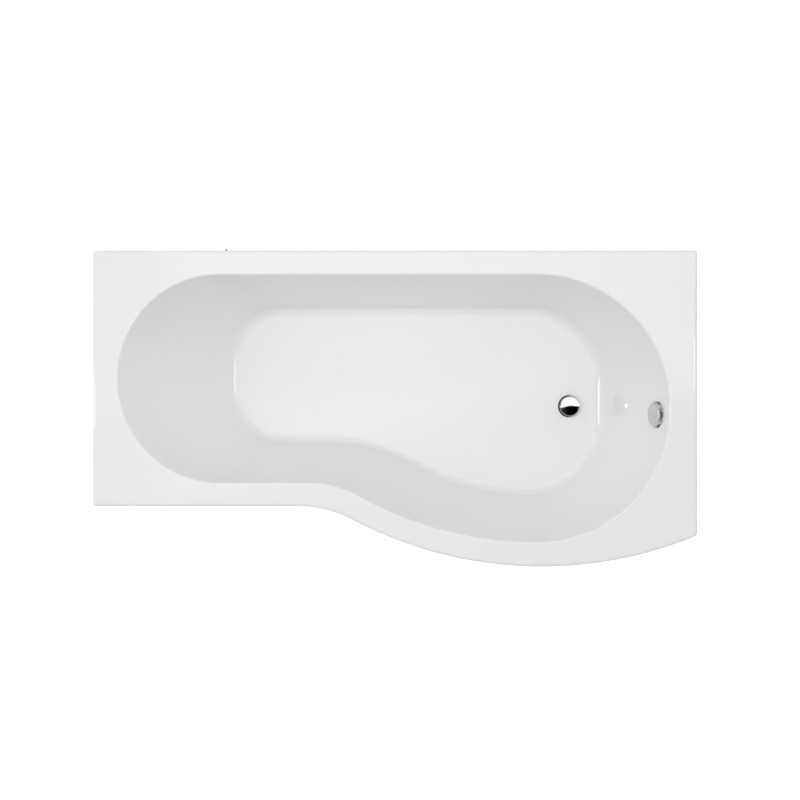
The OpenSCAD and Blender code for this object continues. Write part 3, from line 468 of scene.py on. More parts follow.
def wall_point(i, f):
    x, y, z = mix(top_ring[i], foot_ring[i], f)
    near_head = min(1, max(0, (head_end - top_ring[i][0]) / top_plan["head_r"]))
    bulge = 4 * f * (1 - f) * head_hollow * near_head ** 2
    return (x + bulge * outward[i][0], y + bulge * outward[i][1], z)


def share_of(i, reach):
    return reach / math.dist(top_ring[i], foot_ring[i])


points = range(len(top_ring))
rim_rings = [[(x, y, z) for x, y in rim_outline(0)]
             for z in (rim_z - skirt_depth, rim_z - skirt_depth + 1, 515, 530)]
for turn in range(0, 91, 10):
    a = math.radians(turn)
    rim_rings.append([(x, y, rim_z - edge_r + edge_r * math.sin(a))
                      for x, y in rim_outline(edge_r - edge_r * math.cos(a))])
rim_rings.append([(x, y, rim_z) for x, y in rim_outline(edge_r + 1.5)])
rim_rings.append([(x, y, rim_z) for x, y in basin_outline(top_plan, lip_r + 1.5)])


def lip_bends(reach):
    outer = basin_outline(top_plan, reach)
    return [[bend((*outer[i], rim_z), top_ring[i], wall_point(i, share_of(i, reach)), t / 9)
             for i in points] for t in range(10)]


lip_rings = lip_bends(lip_r)
wall_rings = [[wall_point(i, share_of(i, lip_r) + (1 - share_of(i, lip_r) - share_of(i, foot_blend)) * f)
               for i in points] for f in [0.02, *(k / 16 for k in range(1, 16)), 0.98]]
foot_rings = [[bend(wall_point(i, 1 - share_of(i, foot_blend)), foot_ring[i], floor_ring[i], t / 12)
               for i in points] for t in range(13)]
floor_rings = [[mix(p[:2], floor_middle, f) for p in floor_ring]
               for f in (0.04, 0.12, 0.22, 0.34, 0.46, 0.58, 0.70, 0.81, 0.90, 0.96, 1.0)]
floor_rings = [[(x, y, floor_at(x)) for x, y in ring] for ring in floor_rings]
basin_rings = lip_rings + wall_rings + foot_rings + floor_rings


def metres(ring):
    return [tuple(v * mm for v in p) for p in ring]


print(len(rim_rings) + len(basin_rings), "rings of", len(top_ring), "points")

# %% [markdown]
# The sheet is five millimetres thick, so the show face gets its thickness from a Solidify modifier
# once all its faces point up and into the basin. The two holes are cut last, with cylinders: one for
# the waste in the floor, one for the overflow in the tap end wall, where the round wall also has a
# flat seat pressed into it for the cover.

# %% Form the acrylic tub
sheet_t, sheet_hole_r, cover_seat_r = 5, 26, 39.5
overflow_y, overflow_z = -17.5, 472
wall_lean = math.atan2(top_plan["tap"] - floor_plan["tap"], rim_z - floor_z)
drop_share = (rim_z - overflow_z) / (rim_z - floor_z)
end_r = top_plan["tap_r"] + (floor_plan["tap_r"] - top_plan["tap_r"]) * drop_share
end_y = (top_plan["low"] + top_plan["tap_r"]
         + (floor_plan["low"] + floor_plan["tap_r"] - top_plan["low"] - top_plan["tap_r"]) * drop_share)
end_turn = math.asin((overflow_y - end_y) / end_r)
end_x = top_plan["tap"] + (floor_plan["tap"] - top_plan["tap"]) * drop_share - end_r
overflow_seat = Vector((end_x + end_r * math.cos(end_turn), overflow_y, overflow_z)) * mm
at_overflow = (Matrix.Translation(overflow_seat) @ Matrix.Rotation(end_turn, 4, "Z")
               @ Matrix.Rotation(wall_lean - math.pi / 2, 4, "Y"))


def shift(x, y, z=0):
    return Matrix.Translation((x * mm, y * mm, z * mm))


at_waste = shift(*waste)


def cylinder(radius, low, high, at=Matrix(), sides=96):
    nothing()
    bpy.ops.mesh.primitive_cylinder_add(vertices=sides, radius=radius * mm, depth=(high - low) * mm,
                                        location=(0, 0, (high + low) / 2 * mm))
    piece = bpy.context.object
    bpy.ops.object.transform_apply(location=True)
    piece.data.transform(at)
    return piece


def face_up(piece):
    """Turns an open skin over if its widest level face looks down."""
    flat = max(piece.data.polygons, key=lambda p: p.area * abs(p.normal.z))
    if flat.normal.z < 0:
        on_all(piece, bpy.ops.mesh.flip_normals)
    return piece


tub = face_up(skin("acrylic_tub", [metres(r) for r in rim_rings + basin_rings]))
tool(tub, "SOLIDIFY", thickness=sheet_t * mm, offset=-1, use_even_offset=True)
cut(tub, cylinder(sheet_hole_r, 130, 180, at_waste))
cut(tub, cylinder(sheet_hole_r, -20, 20, at_overflow))
cut(tub, cylinder(cover_seat_r, 0, 12, at_overflow))
dress(tub, acrylic, "acrylic_shell", angle=30)

# %% [markdown]
# Behind the sheet, glass fibre and resin are sprayed on while the tub still lies upside down, and
# rolled out by hand. It is the rough, cream skin that is seen from below. It follows the tub 5.2
# millimetres below the show face, is 4 millimetres thick, and is built up level under the floor
# where the chipboard is bonded. A Displace modifier moves a copy of the basin's skin inwards.

# %% Lay up the glass fibre
fibre = Finish("glass_fibre", Specular_IOR_Level=0.4)
strands = None
for turn in (0, 35, 72, 118, 151):
    along = fibre.noise(fibre.place((16, 420, 300), (0, 0, turn)), 1.0, 0.0)
    line_up = (1 - (along - 0.5).sum("ABSOLUTE", along - 0.5) * 26).kept()
    strands = line_up if strands is None else strands.sum("MAXIMUM", strands, line_up)
patch = fibre.noise(fibre.place(), 9.0, 4.0)
fibre.feed(
    Base_Color=fibre.blend(
        strands * 0.55,
        fibre.ramp(patch, (0.3, (0.60, 0.56, 0.42)), (0.7, (0.71, 0.67, 0.54))),
        (0.80, 0.79, 0.72)),
    Roughness=0.32 + 0.4 * patch,
    Normal=fibre.relief(strands + 1.6 * patch, 0.5 * mm))

fibre_gap, fibre_t, fibre_lip_r, lap, board_top = 0.2, 4, 10, 22, 145.8
lap_ring = [(x, y, rim_z) for x, y in basin_outline(top_plan, lap)]
level_rings = floor_rings[1::2]
fibre_rings = [lap_ring] + lip_bends(fibre_lip_r)[::2] + wall_rings[::2] + foot_rings[::2] + level_rings
level_from = (len(fibre_rings) - len(level_rings) - 1) * len(top_ring)
backing = face_up(skin("glass_fibre_skin", [metres(r) for r in fibre_rings]))
tool(backing, "DISPLACE", direction="NORMAL", mid_level=0, strength=-(sheet_t + fibre_gap) * mm)
face_count = len(backing.data.vertices)
tool(backing, "SOLIDIFY", thickness=fibre_t * mm, offset=-1, use_even_offset=True)
for vertex in backing.data.vertices[face_count + level_from:]:
    vertex.co.z = board_top * mm
cut(backing, cylinder(sheet_hole_r, 130, 180, at_waste))
cut(backing, cylinder(sheet_hole_r, -30, 30, at_overflow))
dress(backing, fibre, "glass_fibre_backing", angle=50)

# %% [markdown]
# Under the floor lies a sheet of chipboard with round corners, which spreads the bather's weight
# over the legs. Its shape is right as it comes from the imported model, so it only gets its finish:
# pressed flakes of different browns, which a cell texture gives, flatter than they are wide.

# %% Finish the chipboard
chips = Finish("chipboard")
flake = chips.cells(chips.place((1, 1.6, 3.2)), 210.0, output="Color")
fine = chips.cells(chips.place((1.4, 1, 2.2), (0, 0, 40)), 620.0, output="Color")
chips.feed(
    Base_Color=chips.blend(
        fine * 0.35,
        chips.ramp(flake, (0.2, (0.30, 0.19, 0.10)), (0.5, (0.47, 0.33, 0.19)),
                   (0.8, (0.60, 0.45, 0.28))),
        (0.38, 0.25, 0.14)),
    Roughness=0.7 + 0.15 * flake,
    Normal=chips.relief(flake + 0.5 * fine, 0.25 * mm))
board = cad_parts["baseboard"].data
board.materials.clear()
board.materials.append(chips.material)
print("chipboard finish on the baseboard")

# %% [markdown]
# Softwood battens stiffen the flat rim from below. They are sawn to size and their long edges are
# eased with a plane. The grain is a band texture, stretched along the batten and bent by noise, so
# the battens that run across the bath have a finish of their own.

# %% Finish the timber
def timber(name, along):
    """Pine with its grain along axis number along."""
    wood = Finish(name)

    def stretched(slow, fast):
        return wood.place(tuple(slow if axis == along else fast for axis in range(3)))

    rings = wood.node("TexWave", {"bands_direction": "DIAGONAL"},
                      {"Vector": stretched(0.25, 1), "Scale": 34.0, "Distortion": 5.0,
                       "Detail": 3.0, "Detail Scale": 0.7}, "Fac")
    pores = wood.noise(stretched(9, 420), 1.0, 3.0)
    wood.feed(
        Base_Color=wood.blend(
            pores * 0.5,
            wood.ramp(rings, (0.0, (0.66, 0.47, 0.27)), (0.6, (0.58, 0.38, 0.20)),
                      (1.0, (0.42, 0.24, 0.11))),
            (0.50, 0.32, 0.17)),
        Roughness=0.55 + 0.25 * pores,
        Normal=wood.relief(pores + 0.4 * rings, 0.2 * mm))
    return wood


pine_along, pine_across = timber("pine_along_the_bath", 0), timber("pine_across_the_bath", 1)


def beam(name, low, high, ease=1.2, segments=2):
    """A bar between two corners, with eased edges."""
    nothing()
    bpy.ops.mesh.primitive_cube_add(size=1, location=[(a + b) / 2 * mm for a, b in zip(low, high)],
                                    scale=[(b - a) * mm for a, b in zip(low, high)])
    piece = named(bpy.context.object, name)
    bpy.ops.object.transform_apply(location=True, rotation=True, scale=True)
    return tool(piece, "BEVEL", width=ease * mm, segments=segments)


def drill(piece, radius, low, high, x, y, sides=32):
    cut(piece, cylinder(radius, low, high, shift(x, y), sides))


print("two directions of pine")

# %% [markdown]
# Four of the five battens are straight. They lie 9 millimetres inside the bath's edge, just under
# the flat rim, and the back one is drilled from below for the screws of the wall brackets.

# %% Saw the four straight battens
edge_in, wood_w, wood_gap = 9, 30, 4
wood_low, wood_top = 516.8, 534.8
far = length / 2 - edge_in
reach = far - wood_w - wood_gap
arm_y = 439.6
bracket_screws_at = [(s * 480 + t * 9, arm_y - 14.25) for s in (-1, 1) for t in (-1, 1)]
run_gap, screw_r, screw_length = 0.06, 2.5, 14.4
screw_hole_r = screw_r + run_gap
back_in, front_in = back_y - edge_in, front_y + edge_in


def batten(name, low, high, pine, node, holes=()):
    piece = beam(name, (*low, wood_low), (*high, wood_top))
    for x, y in holes:
        drill(piece, screw_hole_r, wood_low - 2, wood_low + screw_length + 0.3, x, y)
    dress(piece, pine, node, slot="timber")


batten("batten_back", (-reach, back_in - wood_w), (reach, back_in), pine_along, "back_batten",
       bracket_screws_at)
batten("batten_front", (-reach, front_in), (ease_centre[0], front_in + wood_w), pine_along,
       "front_batten")
batten("batten_head_end", (-far, front_in), (-far + wood_w, back_in), pine_across, "head_batten")
batten("batten_tap_end", (far - wood_w, bow_corner[1]), (far, back_in), pine_across, "tap_end_batten")

# %% [markdown]
# Along the bow a straight batten would not fit, so a curved strip is sawn from plywood. Its cut
# edges show the plies as light and dark bands, which follow the height alone. The strip is a small
# rectangle, extruded along the arc.

# %% Saw the bow's batten from plywood
ply = Finish("plywood")
ply_pair = 2.57
height, = ply.axes(ply.place(), "Z")
layer = (height / (ply_pair * mm)).part() > 0.5
grain = ply.noise(ply.place((14, 300, 60)), 1.0, 4.0)
ply.feed(
    Base_Color=ply.blend(grain * 0.6, ply.blend(layer, (0.62, 0.45, 0.27), (0.45, 0.29, 0.15)),
                         (0.50, 0.34, 0.19)),
    Roughness=0.6 + 0.2 * grain,
    Normal=ply.relief(grain + 0.5 * layer, 0.2 * mm))

bow_out, bow_w = bow_r - edge_in, 25.8
start_turn = math.atan2(bow_centre[1] - ease_centre[1], bow_centre[0] - ease_centre[0]) - math.pi
end_turn_bow = -math.acos((reach - bow_centre[0]) / bow_out)
sections = []
for k in range(61):
    a = start_turn + (end_turn_bow - start_turn) * k / 60
    out = (math.cos(a), math.sin(a))
    sections.append([(bow_centre[0] + r * out[0], bow_centre[1] + r * out[1], z)
                     for r, z in ((bow_out - bow_w, wood_low), (bow_out, wood_low),
                                  (bow_out, wood_top), (bow_out - bow_w, wood_top))])
bow_batten = skin("batten_bow", [metres(s) for s in sections], "caps")
tool(bow_batten, "BEVEL", width=0.8 * mm, segments=2, angle_limit=math.radians(50))
dress(bow_batten, ply, "bow_batten")

# %% [markdown]
# The legs are folded from galvanised sheet. A folded part has the same section all along, so its
# section is drawn as a closed outline with round bends and extruded once, and the holes are cut
# with cylinders. Zinc crystals give the sheet its spangle: a cell texture with one grey per cell.

# %% Finish galvanised steel and fold a section
galvanised = Finish("galvanised_steel", Metallic=1.0)
crystal = galvanised.cells(galvanised.place((1, 1, 1), (20, 35, 10)), 130.0, output="Color")
film = galvanised.noise(galvanised.place(), 60.0, 4.0)
galvanised.feed(
    Base_Color=galvanised.ramp(0.75 * crystal + 0.25 * film,
                               (0.1, (0.44, 0.46, 0.48)), (0.9, (0.66, 0.68, 0.70))),
    Roughness=0.30 + 0.22 * film,
    Normal=galvanised.relief(crystal, 0.03 * mm))


def rounded(points, reach, closed=True, steps=3):
    """Rounds the corners of an outline, with the ends left sharp if it is open."""
    out = []
    for i, p in enumerate(points):
        if not closed and i in (0, len(points) - 1):
            out.append(p)
            continue
        before, after = points[i - 1], points[(i + 1) % len(points)]
        a = mix(p, before, min(0.45, reach / math.dist(p, before)))
        b = mix(p, after, min(0.45, reach / math.dist(p, after)))
        out += [bend(a, p, b, t / steps) for t in range(steps + 1)]
    return out


def offset_path(path, thick):
    """The closed outline of a folded strip: the path, and the path set off to its left by thick."""
    other, last = [], len(path) - 1
    for i, p in enumerate(path):
        turns = []
        before = (path[max(i - 1, 0)], path[max(i, 1)])
        after = (path[min(i, last - 1)], path[min(i + 1, last)])
        for a, b in (before, after):
            d = math.dist(a, b)
            turns.append(((a[1] - b[1]) / d, (b[0] - a[0]) / d))
        mid = ((turns[0][0] + turns[1][0]) / 2, (turns[0][1] + turns[1][1]) / 2)
        scale = thick / (mid[0] ** 2 + mid[1] ** 2)
        other.append((p[0] + mid[0] * scale, p[1] + mid[1] * scale))
    return list(path) + other[::-1]


def folded(name, section, start, end, to_frame):
    """A strip with this section between start and end; to_frame turns (u, v, along) into a place."""
    return skin(name, [metres([to_frame(u, v, w) for u, v in section]) for w in (start, end)], "caps")


print("galvanised steel is ready")

# %% [markdown]
# Two channels cross the bath under the board. Each carries a foot near its ends, and is screwed to
# the board in between. A third, hat-shaped bracket carries the foot under the middle.

# %% Fold the leg channels and the centre bracket
steel, web_top, side, half_web, fold_r, stud_hole_r = 2, 127.6, 24, 21, 3.5, 6.5
head_leg_x, tap_leg_x, back_foot = -320, 340, 330
middle_x, board_y = -20.75, 99.5
feet = [(head_leg_x, -130), (head_leg_x, back_foot), (tap_leg_x, -290), (tap_leg_x, back_foot),
        (middle_x, board_y)]
leg_screws_at = [(x, board_y + s * 100) for x in (head_leg_x, tap_leg_x) for s in (-1, 1)] + [
    (middle_x + s * 45, board_y) for s in (-1, 1)]
channel = [(-half_web, web_top - side), (-half_web, web_top), (half_web, web_top),
           (half_web, web_top - side)]
for label, (x, front_foot) in (("head", feet[0]), ("tap", feet[2])):
    piece = folded("leg_channel_" + label, offset_path(rounded(channel, fold_r, False), -steel),
                   front_foot - 30, back_foot + 30, lambda u, v, w, x=x: (x + u, w, v))
    for y in (front_foot, back_foot):
        drill(piece, stud_hole_r, web_top - 10, web_top + 10, x, y, 48)
    for s in (-1, 1):
        drill(piece, screw_hole_r, web_top - 10, web_top + 10, x, board_y + s * 100)
    dress(piece, galvanised, label + "_leg_channel")

hat_top = 54.6
hat = [(-60, web_top), (-28, web_top), (-28, hat_top), (28, hat_top), (28, web_top), (60, web_top)]
hat_bracket = folded("leg_bracket_centre", offset_path(rounded(hat, fold_r, False), -steel),
                     board_y - half_web, board_y + half_web, lambda u, v, w: (middle_x + u, w, v))
drill(hat_bracket, stud_hole_r, hat_top - 10, hat_top + 5, middle_x, board_y, 48)
for x, y in leg_screws_at[4:]:
    drill(hat_bracket, screw_hole_r, web_top - 10, web_top + 10, x, y)
dress(hat_bracket, galvanised, "centre_leg_bracket")

# %% [markdown]
# Two small folded strips hang under the back batten. They step out below the bath's edge, so that
# the lower leg lies flat against the wall of the room, where it is screwed on. They are the same
# kind of folded strip, and the corners of the lower leg are rounded off with a bevel.

# %% Fold the wall brackets
strip_t, step_z, drop = 2.5, 499, 60
z_section = [(arm_y - 26, wood_low), (arm_y, wood_low), (arm_y, step_z), (back_y, step_z),
             (back_y, step_z - drop)]
turned_to_wall = Matrix.Rotation(math.radians(-90), 4, "X")
for label, x in (("head", -480), ("tap", 480)):
    piece = folded("bracket_on_wall_" + label, offset_path(rounded(z_section, 3, False), -strip_t),
                   x - 18, x + 18, lambda u, v, w: (w, u, v))

    def at_foot(e):
        a, b = (piece.data.vertices[v].co for v in e.vertices)
        return max(a.z, b.z) < (step_z - drop + 0.5) * mm and abs(a.x - b.x) < 0.1 * mm

    select(piece, "edges", at_foot)
    bpy.ops.mesh.bevel(offset=6 * mm, segments=6)
    bpy.ops.object.mode_set(mode="OBJECT")
    print("lower leg's corners rounded,", len(piece.data.vertices), "vertices")
    for z in (476.5, 456.5):
        cut(piece, cylinder(2.75, -8, 8, shift(x, back_y, z) @ turned_to_wall, 32))
    for sx, sy in bracket_screws_at:
        if abs(sx - x) < 20:
            drill(piece, screw_hole_r, wood_low - 6, wood_low + 2, sx, sy)
    dress(piece, galvanised, "wall_bracket_" + label)

# %% [markdown]
# A turned piece is a round of outlines that shrink and grow: every point of its section becomes a
# ring. The ends of a solid one come together in a middle point, and a piece with a bore has a
# closed section. Small roundings on the section's corners catch the light as real ones do.

# %% Turn, join and copy pieces
def turned(name, section, close="poles", sides=64, at=Matrix()):
    turns = [2 * math.pi * i / sides for i in range(sides)]
    rings = [[(r * mm * math.cos(a), r * mm * math.sin(a), z * mm) for a in turns] for r, z in section]
    piece = skin(name, rings, close)
    piece.data.transform(at)
    return piece


def join(*parts):
    hold(parts[0])
    for part in parts[1:]:
        part.select_set(True)
    bpy.ops.object.join()
    return parts[0]


def repeat(piece, places):
    """Copies a model to each place, each copy with its own mesh, and takes the model away."""
    made = []
    for place in places:
        copy = piece.copy()
        copy.data = piece.data.copy()
        copy.data.transform(place)
        scene.collection.objects.link(copy)
        made.append(copy)
    bpy.data.objects.remove(piece)
    return made


def around(degrees, at=Matrix()):
    """One place for each angle, turned round the axis of the place that is given."""
    return [at @ Matrix.Rotation(math.radians(d), 4, "Z") for d in degrees]


def wind(piece, pitch, coils, steps):
    """Winds a small outline round the axis with a Screw modifier and fills the two ends."""
    sides = len(piece.data.vertices)
    tool(piece, "SCREW", axis="Z", screw_offset=pitch * mm, iterations=coils,
         steps=steps, render_steps=steps)
    on_all(piece, merge, lambda: bpy.ops.mesh.fill_holes(sides=sides), outwards)


def thread(radius, depth, pitch, low, high, steps, at):
    """A screw thread: a small triangle, wound up."""
    nothing()
    bpy.ops.mesh.primitive_circle_add(vertices=3, radius=1)
    piece = bpy.context.object
    root, half = radius - depth, 0.45 * pitch
    section = ((radius, low), (root, low + half), (root, low - half))
    for vertex, (r, z) in zip(piece.data.vertices, section):
        vertex.co = (r * mm, 0, z * mm)
    wind(piece, pitch, int((high - low) / pitch), steps)
    piece.data.transform(at)
    return piece


print("turning, joining, copying and threading are ready")

# %% [markdown]
# Each foot is locked by two nuts, above and below the steel it passes through. A nut is a hexagon
# whose corners are turned off on both faces, so a six-sided cylinder is intersected with a turned
# body, and the bore is cut through. One nut is modelled and copied ten times.

# %% Make the leg nuts
zinc = clouded("zinc_plate", 180.0, 4.0, ((0.60, 0.62, 0.66), (0.74, 0.75, 0.76)), (0.20, 0.22), 0.03,
               Metallic=1.0)
stud_r, nut_h, nut_af, mouth_r = 6, 9.6, 19.2, 7.2
stud_bore_r, face_r = stud_r + run_gap, nut_af / 2 - 0.4
corner = nut_af / 2 / math.cos(math.radians(30))
nut = cylinder(corner, 0, nut_h, Matrix.Rotation(math.radians(30), 4, "Z"), 6)
cut(nut, turned("nut_corners", [(0, 0), (face_r, 0), (corner + 0.3, 1.5), (corner + 0.3, nut_h - 1.5),
                                (face_r, nut_h), (0, nut_h)]), "INTERSECT")
cut(nut, turned("nut_bore", [(0, -1), (mouth_r, -1), (stud_bore_r, 1), (stud_bore_r, nut_h - 1),
                             (mouth_r, nut_h + 1), (0, nut_h + 1)]))
webs = [web_top] * 4 + [hat_top]
nut_places = [shift(x, y, z) for (x, y), web in zip(feet, webs) for z in (web, web - steel - nut_h)]
dress(named(join(*repeat(nut, nut_places)), "leg_nuts_zinc"), zinc, "leg_nuts")

# %% [markdown]
# Pan-head screws hold the legs to the board and the wall brackets to the back batten. Their heads
# face down, with a cross recess for the driver. The head's section is a low dome, and the recess is
# cut with two thin bars.

# %% Make the screws
passivated = Finish("yellow_zinc", Metallic=1.0)
bloom = passivated.noise(passivated.place(), 260.0, 3.0)
passivated.feed(
    Base_Color=passivated.ramp(
        bloom, (0.3, (0.72, 0.55, 0.22)), (0.55, (0.80, 0.66, 0.36)), (0.8, (0.66, 0.55, 0.40))),
    Roughness=0.22 + 0.2 * bloom,
    Normal=passivated.relief(bloom, 0.02 * mm))
head_h = 2.6


def pan_screw(into):
    end = head_h + into
    piece = turned("pan_screw", [
        (0, 0), (2.4, 0.12), (3.9, 0.6), (4.75, 1.4), (5, 2.1), (5, head_h), (screw_r, head_h),
        (screw_r, end - 4), (0.6, end), (0, end)], sides=40)
    for u, v in ((2.7, 0.42), (0.42, 2.7)):
        cut(piece, beam("recess", (-u, -v, -1), (u, v, 1.5), 0.15))
    return piece


for label, through, z, places in (("leg_screws", steel, web_top, leg_screws_at),
                                  ("bracket_screws", strip_t, wood_low, bracket_screws_at)):
    screws = repeat(pan_screw(screw_length + through),
                    [shift(x, y, z - through - head_h) for x, y in places])
    dress(named(join(*screws), label + "_gold"), passivated, label)

# %% [markdown]
# The five feet screw in and out to level the bath. A moulded plastic pad with eight ribs stands on
# the ground and holds the end of a threaded stud. The ribs are bars, turned round the middle, and
# the stud is a core with a thread wound on it.

# %% Mould the foot pads
plastic = clouded("black_plastic", 40.0, 5.0, ((0.018, 0.018, 0.019), (0.040, 0.040, 0.042)),
                  (0.42, 0.2), 0.06, grain=900.0, IOR=1.46)
pad_section = [(0, 0), (28, 0), (28, 5), (19.6, 9), (12.4, 9.4), (12, 22), (stud_bore_r, 22),
               (stud_bore_r, 8), (0, 8)]
pad_core = turned("pad_core", rounded(pad_section, 1.0, closed=False), sides=72)
pad = join(pad_core, *repeat(beam("pad_rib", (8, -1.2, 3), (19.6, 1.2, 15.4), 0.5),
                             around(range(0, 360, 45))))
for k, copy in enumerate(repeat(pad, [shift(x, y) for x, y in feet]), 1):
    dress(named(copy, f"pad_of_foot_{k}"), plastic, f"foot_pad_{k}", body=f"foot_{k}")

# %% [markdown]
# The studs are 12 millimetres thick with a metric thread of 1.75 millimetres. The four under the
# channels are long, and the one in the middle is short.

# %% Roll the studs
for k, ((x, y), web) in enumerate(zip(feet, webs), 1):
    top = web + nut_h + 22
    core_section = [(0, 8), (5.2, 8), (5.2, 23), (5.2, top - 0.6), (4.4, top), (0, top)]
    stud = join(turned(f"stud_of_foot_{k}", core_section, sides=32, at=shift(x, y)),
                thread(stud_r, 1.0, 1.75, 23.5, top - 1.2, 18, shift(x, y)))
    dress(stud, zinc, f"foot_stud_{k}", body=f"foot_{k}")

# %% [markdown]
# The waste is chromed brass. Its flange lies on the floor of the tub: a narrow ring that slopes
# gently outwards round a shallow cup, where the plug comes to rest. Below it a threaded tail goes
# through the hole. Chrome is a mirror, with fingerprints and wiping marks that change a little how
# sharp and how bright it is.

# %% Turn the chrome flange
chrome = clouded("chrome", 110.0, 4.0, ((0.80, 0.81, 0.82), (0.85, 0.86, 0.87)), (0.03, 0.05), 0.01,
                 stretch=(1, 1.6, 1), strength=0.5, Metallic=1.0)
wx, wy = waste
seat_low, tail_low = 155.3, 117.5
flange_section = [
    (29.4, 157.7), (29.4, 159.85), (29.6, 160), (29.9, 159.94), (31.5, 159.38), (33.0, 158.84),
    (34.5, 158.28), (34.85, 158.1), (35, 157.8), (35, 156.1), (34.7, 155.5), (34.2, seat_low),
    (33.3, seat_low), (33.3, 156.5), (22.8, 156.5), (22.8, tail_low + 0.6), (22.2, tail_low),
    (21, tail_low), (20.5, tail_low + 0.5), (20.5, 152), (22.8, 157.4), (23.3, 157.7)]
hub_section = rounded([(8.06, 123.5), (11, 123.5), (11, 129.5), (8.06, 129.5)], 0.5)


def pipe_thread(low, high, at):
    """A pipe's thread, 47.8 millimetres across, with eleven turns to the inch."""
    return thread(23.9, 1.4, 2.309, low, high, 40, at)


flange = join(turned("waste_flange_chrome", flange_section, "loop", 128, at_waste),
              pipe_thread(119.5, 139, at_waste),
              turned("hub", hub_section, "loop", 48, at_waste),
              *repeat(beam("arm", (9, -2, 123.7), (20.9, 2, 129.3), 0.5),
                      around((0, 120, 240), at_waste)))
dress(flange, chrome, "waste_flange")

# %% [markdown]
# The plug is pushed to shut and pushed again to open. It is drawn open, 8 millimetres up. Its cap
# is a shallow polished dome, whose rim is rounded over a small radius: the dome mirrors the room
# from one side to the other, which makes the bright half and the dark half in the photograph.

# %% Turn the plug's cap
cap_z, cap_r, cap_edge, cap_rise = 166, 29, 2, 2.2
dome_r = (cap_r ** 2 + cap_rise ** 2) / (2 * cap_rise)
dome = [(x, cap_z + cap_edge + cap_rise - dome_r + math.sqrt(dome_r ** 2 - x * x))
        for x in [cap_r * (0.975 * k / 24) for k in range(25)]]
cap_rim = [(28.62, 167.86), (28.88, 167.5), (29, 167.1), (29, 166.7), (28.85, 166.3), (28.5, 166.05),
           (28, 166)]
under = [(18.8, 166), (18.8, 162.3), (18.5, 162), (4.4, 162), (4.06, 162.3), (4.06, 166), (0, 166)]
cap = turned("plug_cap_chrome", dome + cap_rim + under, "poles", 128, at_waste)
dress(cap, chrome, "plug_cap", body="plug", angle=40)

# %% [markdown]
# Below the cap come its rubber seal and its stem. The stem slides in a brass sleeve, held in the
# middle of the tail, and a spring between the sleeve and the cap's hub pushes the plug open. The
# spring is a small circle wound up by a Screw modifier.

# %% Make seal, stem, sleeve and spring
rubber = clouded("black_rubber", 150.0, 5.0, ((0.014, 0.014, 0.014), (0.05, 0.05, 0.05)), (0.62, 0.2),
                 0.05, IOR=1.5)
brass = clouded("brass_sleeve", 160.0, 4.0, ((0.80, 0.62, 0.30), (0.62, 0.44, 0.20)), (0.22, 0.2),
                0.02, stretch=(1, 1, 12), Metallic=1.0)
spring_steel = clouded("spring_steel", 300.0, 3.0, ((0.50, 0.51, 0.53), (0.66, 0.67, 0.68)),
                       (0.25, 0.15), 0.02, Metallic=1.0)

seal_section = []
for k in range(20):
    a, r = 2 * math.pi * k / 20, 1.5 - (0.12 if k % 10 in (1, 9) else 0)
    seal_section.append((20.45 + r * math.cos(a), 164.4 + r * math.sin(a)))
seal = turned("plug_seal_rubber", seal_section, "loop", 96, at_waste)
dress(seal, rubber, "plug_seal", body="plug")
stem_section = [(0, 127.5), (3.3, 127.5), (4, 128.2), (4, 130.6), (3.4, 130.8), (3.4, 131.8),
                (4, 132), (4, 165.6), (3.6, 166), (0, 166)]
stem = turned("plug_stem_steel", stem_section, "poles", 40, at_waste)
dress(stem, spring_steel, "plug_stem", body="plug")
sleeve_section = [(4.06, 118), (4.4, tail_low), (7.5, tail_low), (8, 118), (8, 122.6), (8, 135),
                  (7.5, 135.5), (4.4, 135.5), (4.06, 135)]
sleeve = turned("plug_sleeve_brass", sleeve_section, "loop", 48, at_waste)
dress(sleeve, brass, "plug_sleeve")

spring_r, wire_r, spring_low, spring_high, coils = 5.6, 0.6, 136.2, 161.3, 6
nothing()
bpy.ops.mesh.primitive_circle_add(vertices=10, radius=wire_r * mm, rotation=(math.pi / 2, 0, 0),
                                  location=(spring_r * mm, 0, spring_low * mm))
spring = named(bpy.context.object, "plug_spring_coil")
bpy.ops.object.transform_apply(location=True, rotation=True)
wind(spring, (spring_high - spring_low) / coils, coils, 28)
spring.data.transform(at_waste)
dress(spring, spring_steel, "plug_spring", angle=60)
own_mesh(spring)

# %% [markdown]
# Two rubber rings make the waste tight: a thin one between flange and tub, a thick one between the
# tub and the plastic chamber below. The overflow has a third one behind the wall.

# %% Cut the rubber rings
for node, inner, outer, low, high, at in (
        ("flange_washer", 26, 33, 155, 156.5, at_waste),
        ("waste_gasket", 24.3, 34, 141.6, 145.6, at_waste),
        ("overflow_gasket", 24.3, 33, -12.4, -9.4, at_overflow)):
    section = rounded([(inner, low), (outer, low), (outer, high), (inner, high)], 0.5)
    dress(turned(node + "_rubber", section, "loop", 96, at), rubber, node)

# %% [markdown]
# The chamber below the floor is moulded in white plastic. It screws on the flange's tail, has a
# port at its side for the overflow hose, and ends in a threaded outlet for the trap. Chamber and
# port are two turned bodies, united, and hollowed with two more. Grip ribs stand round it.

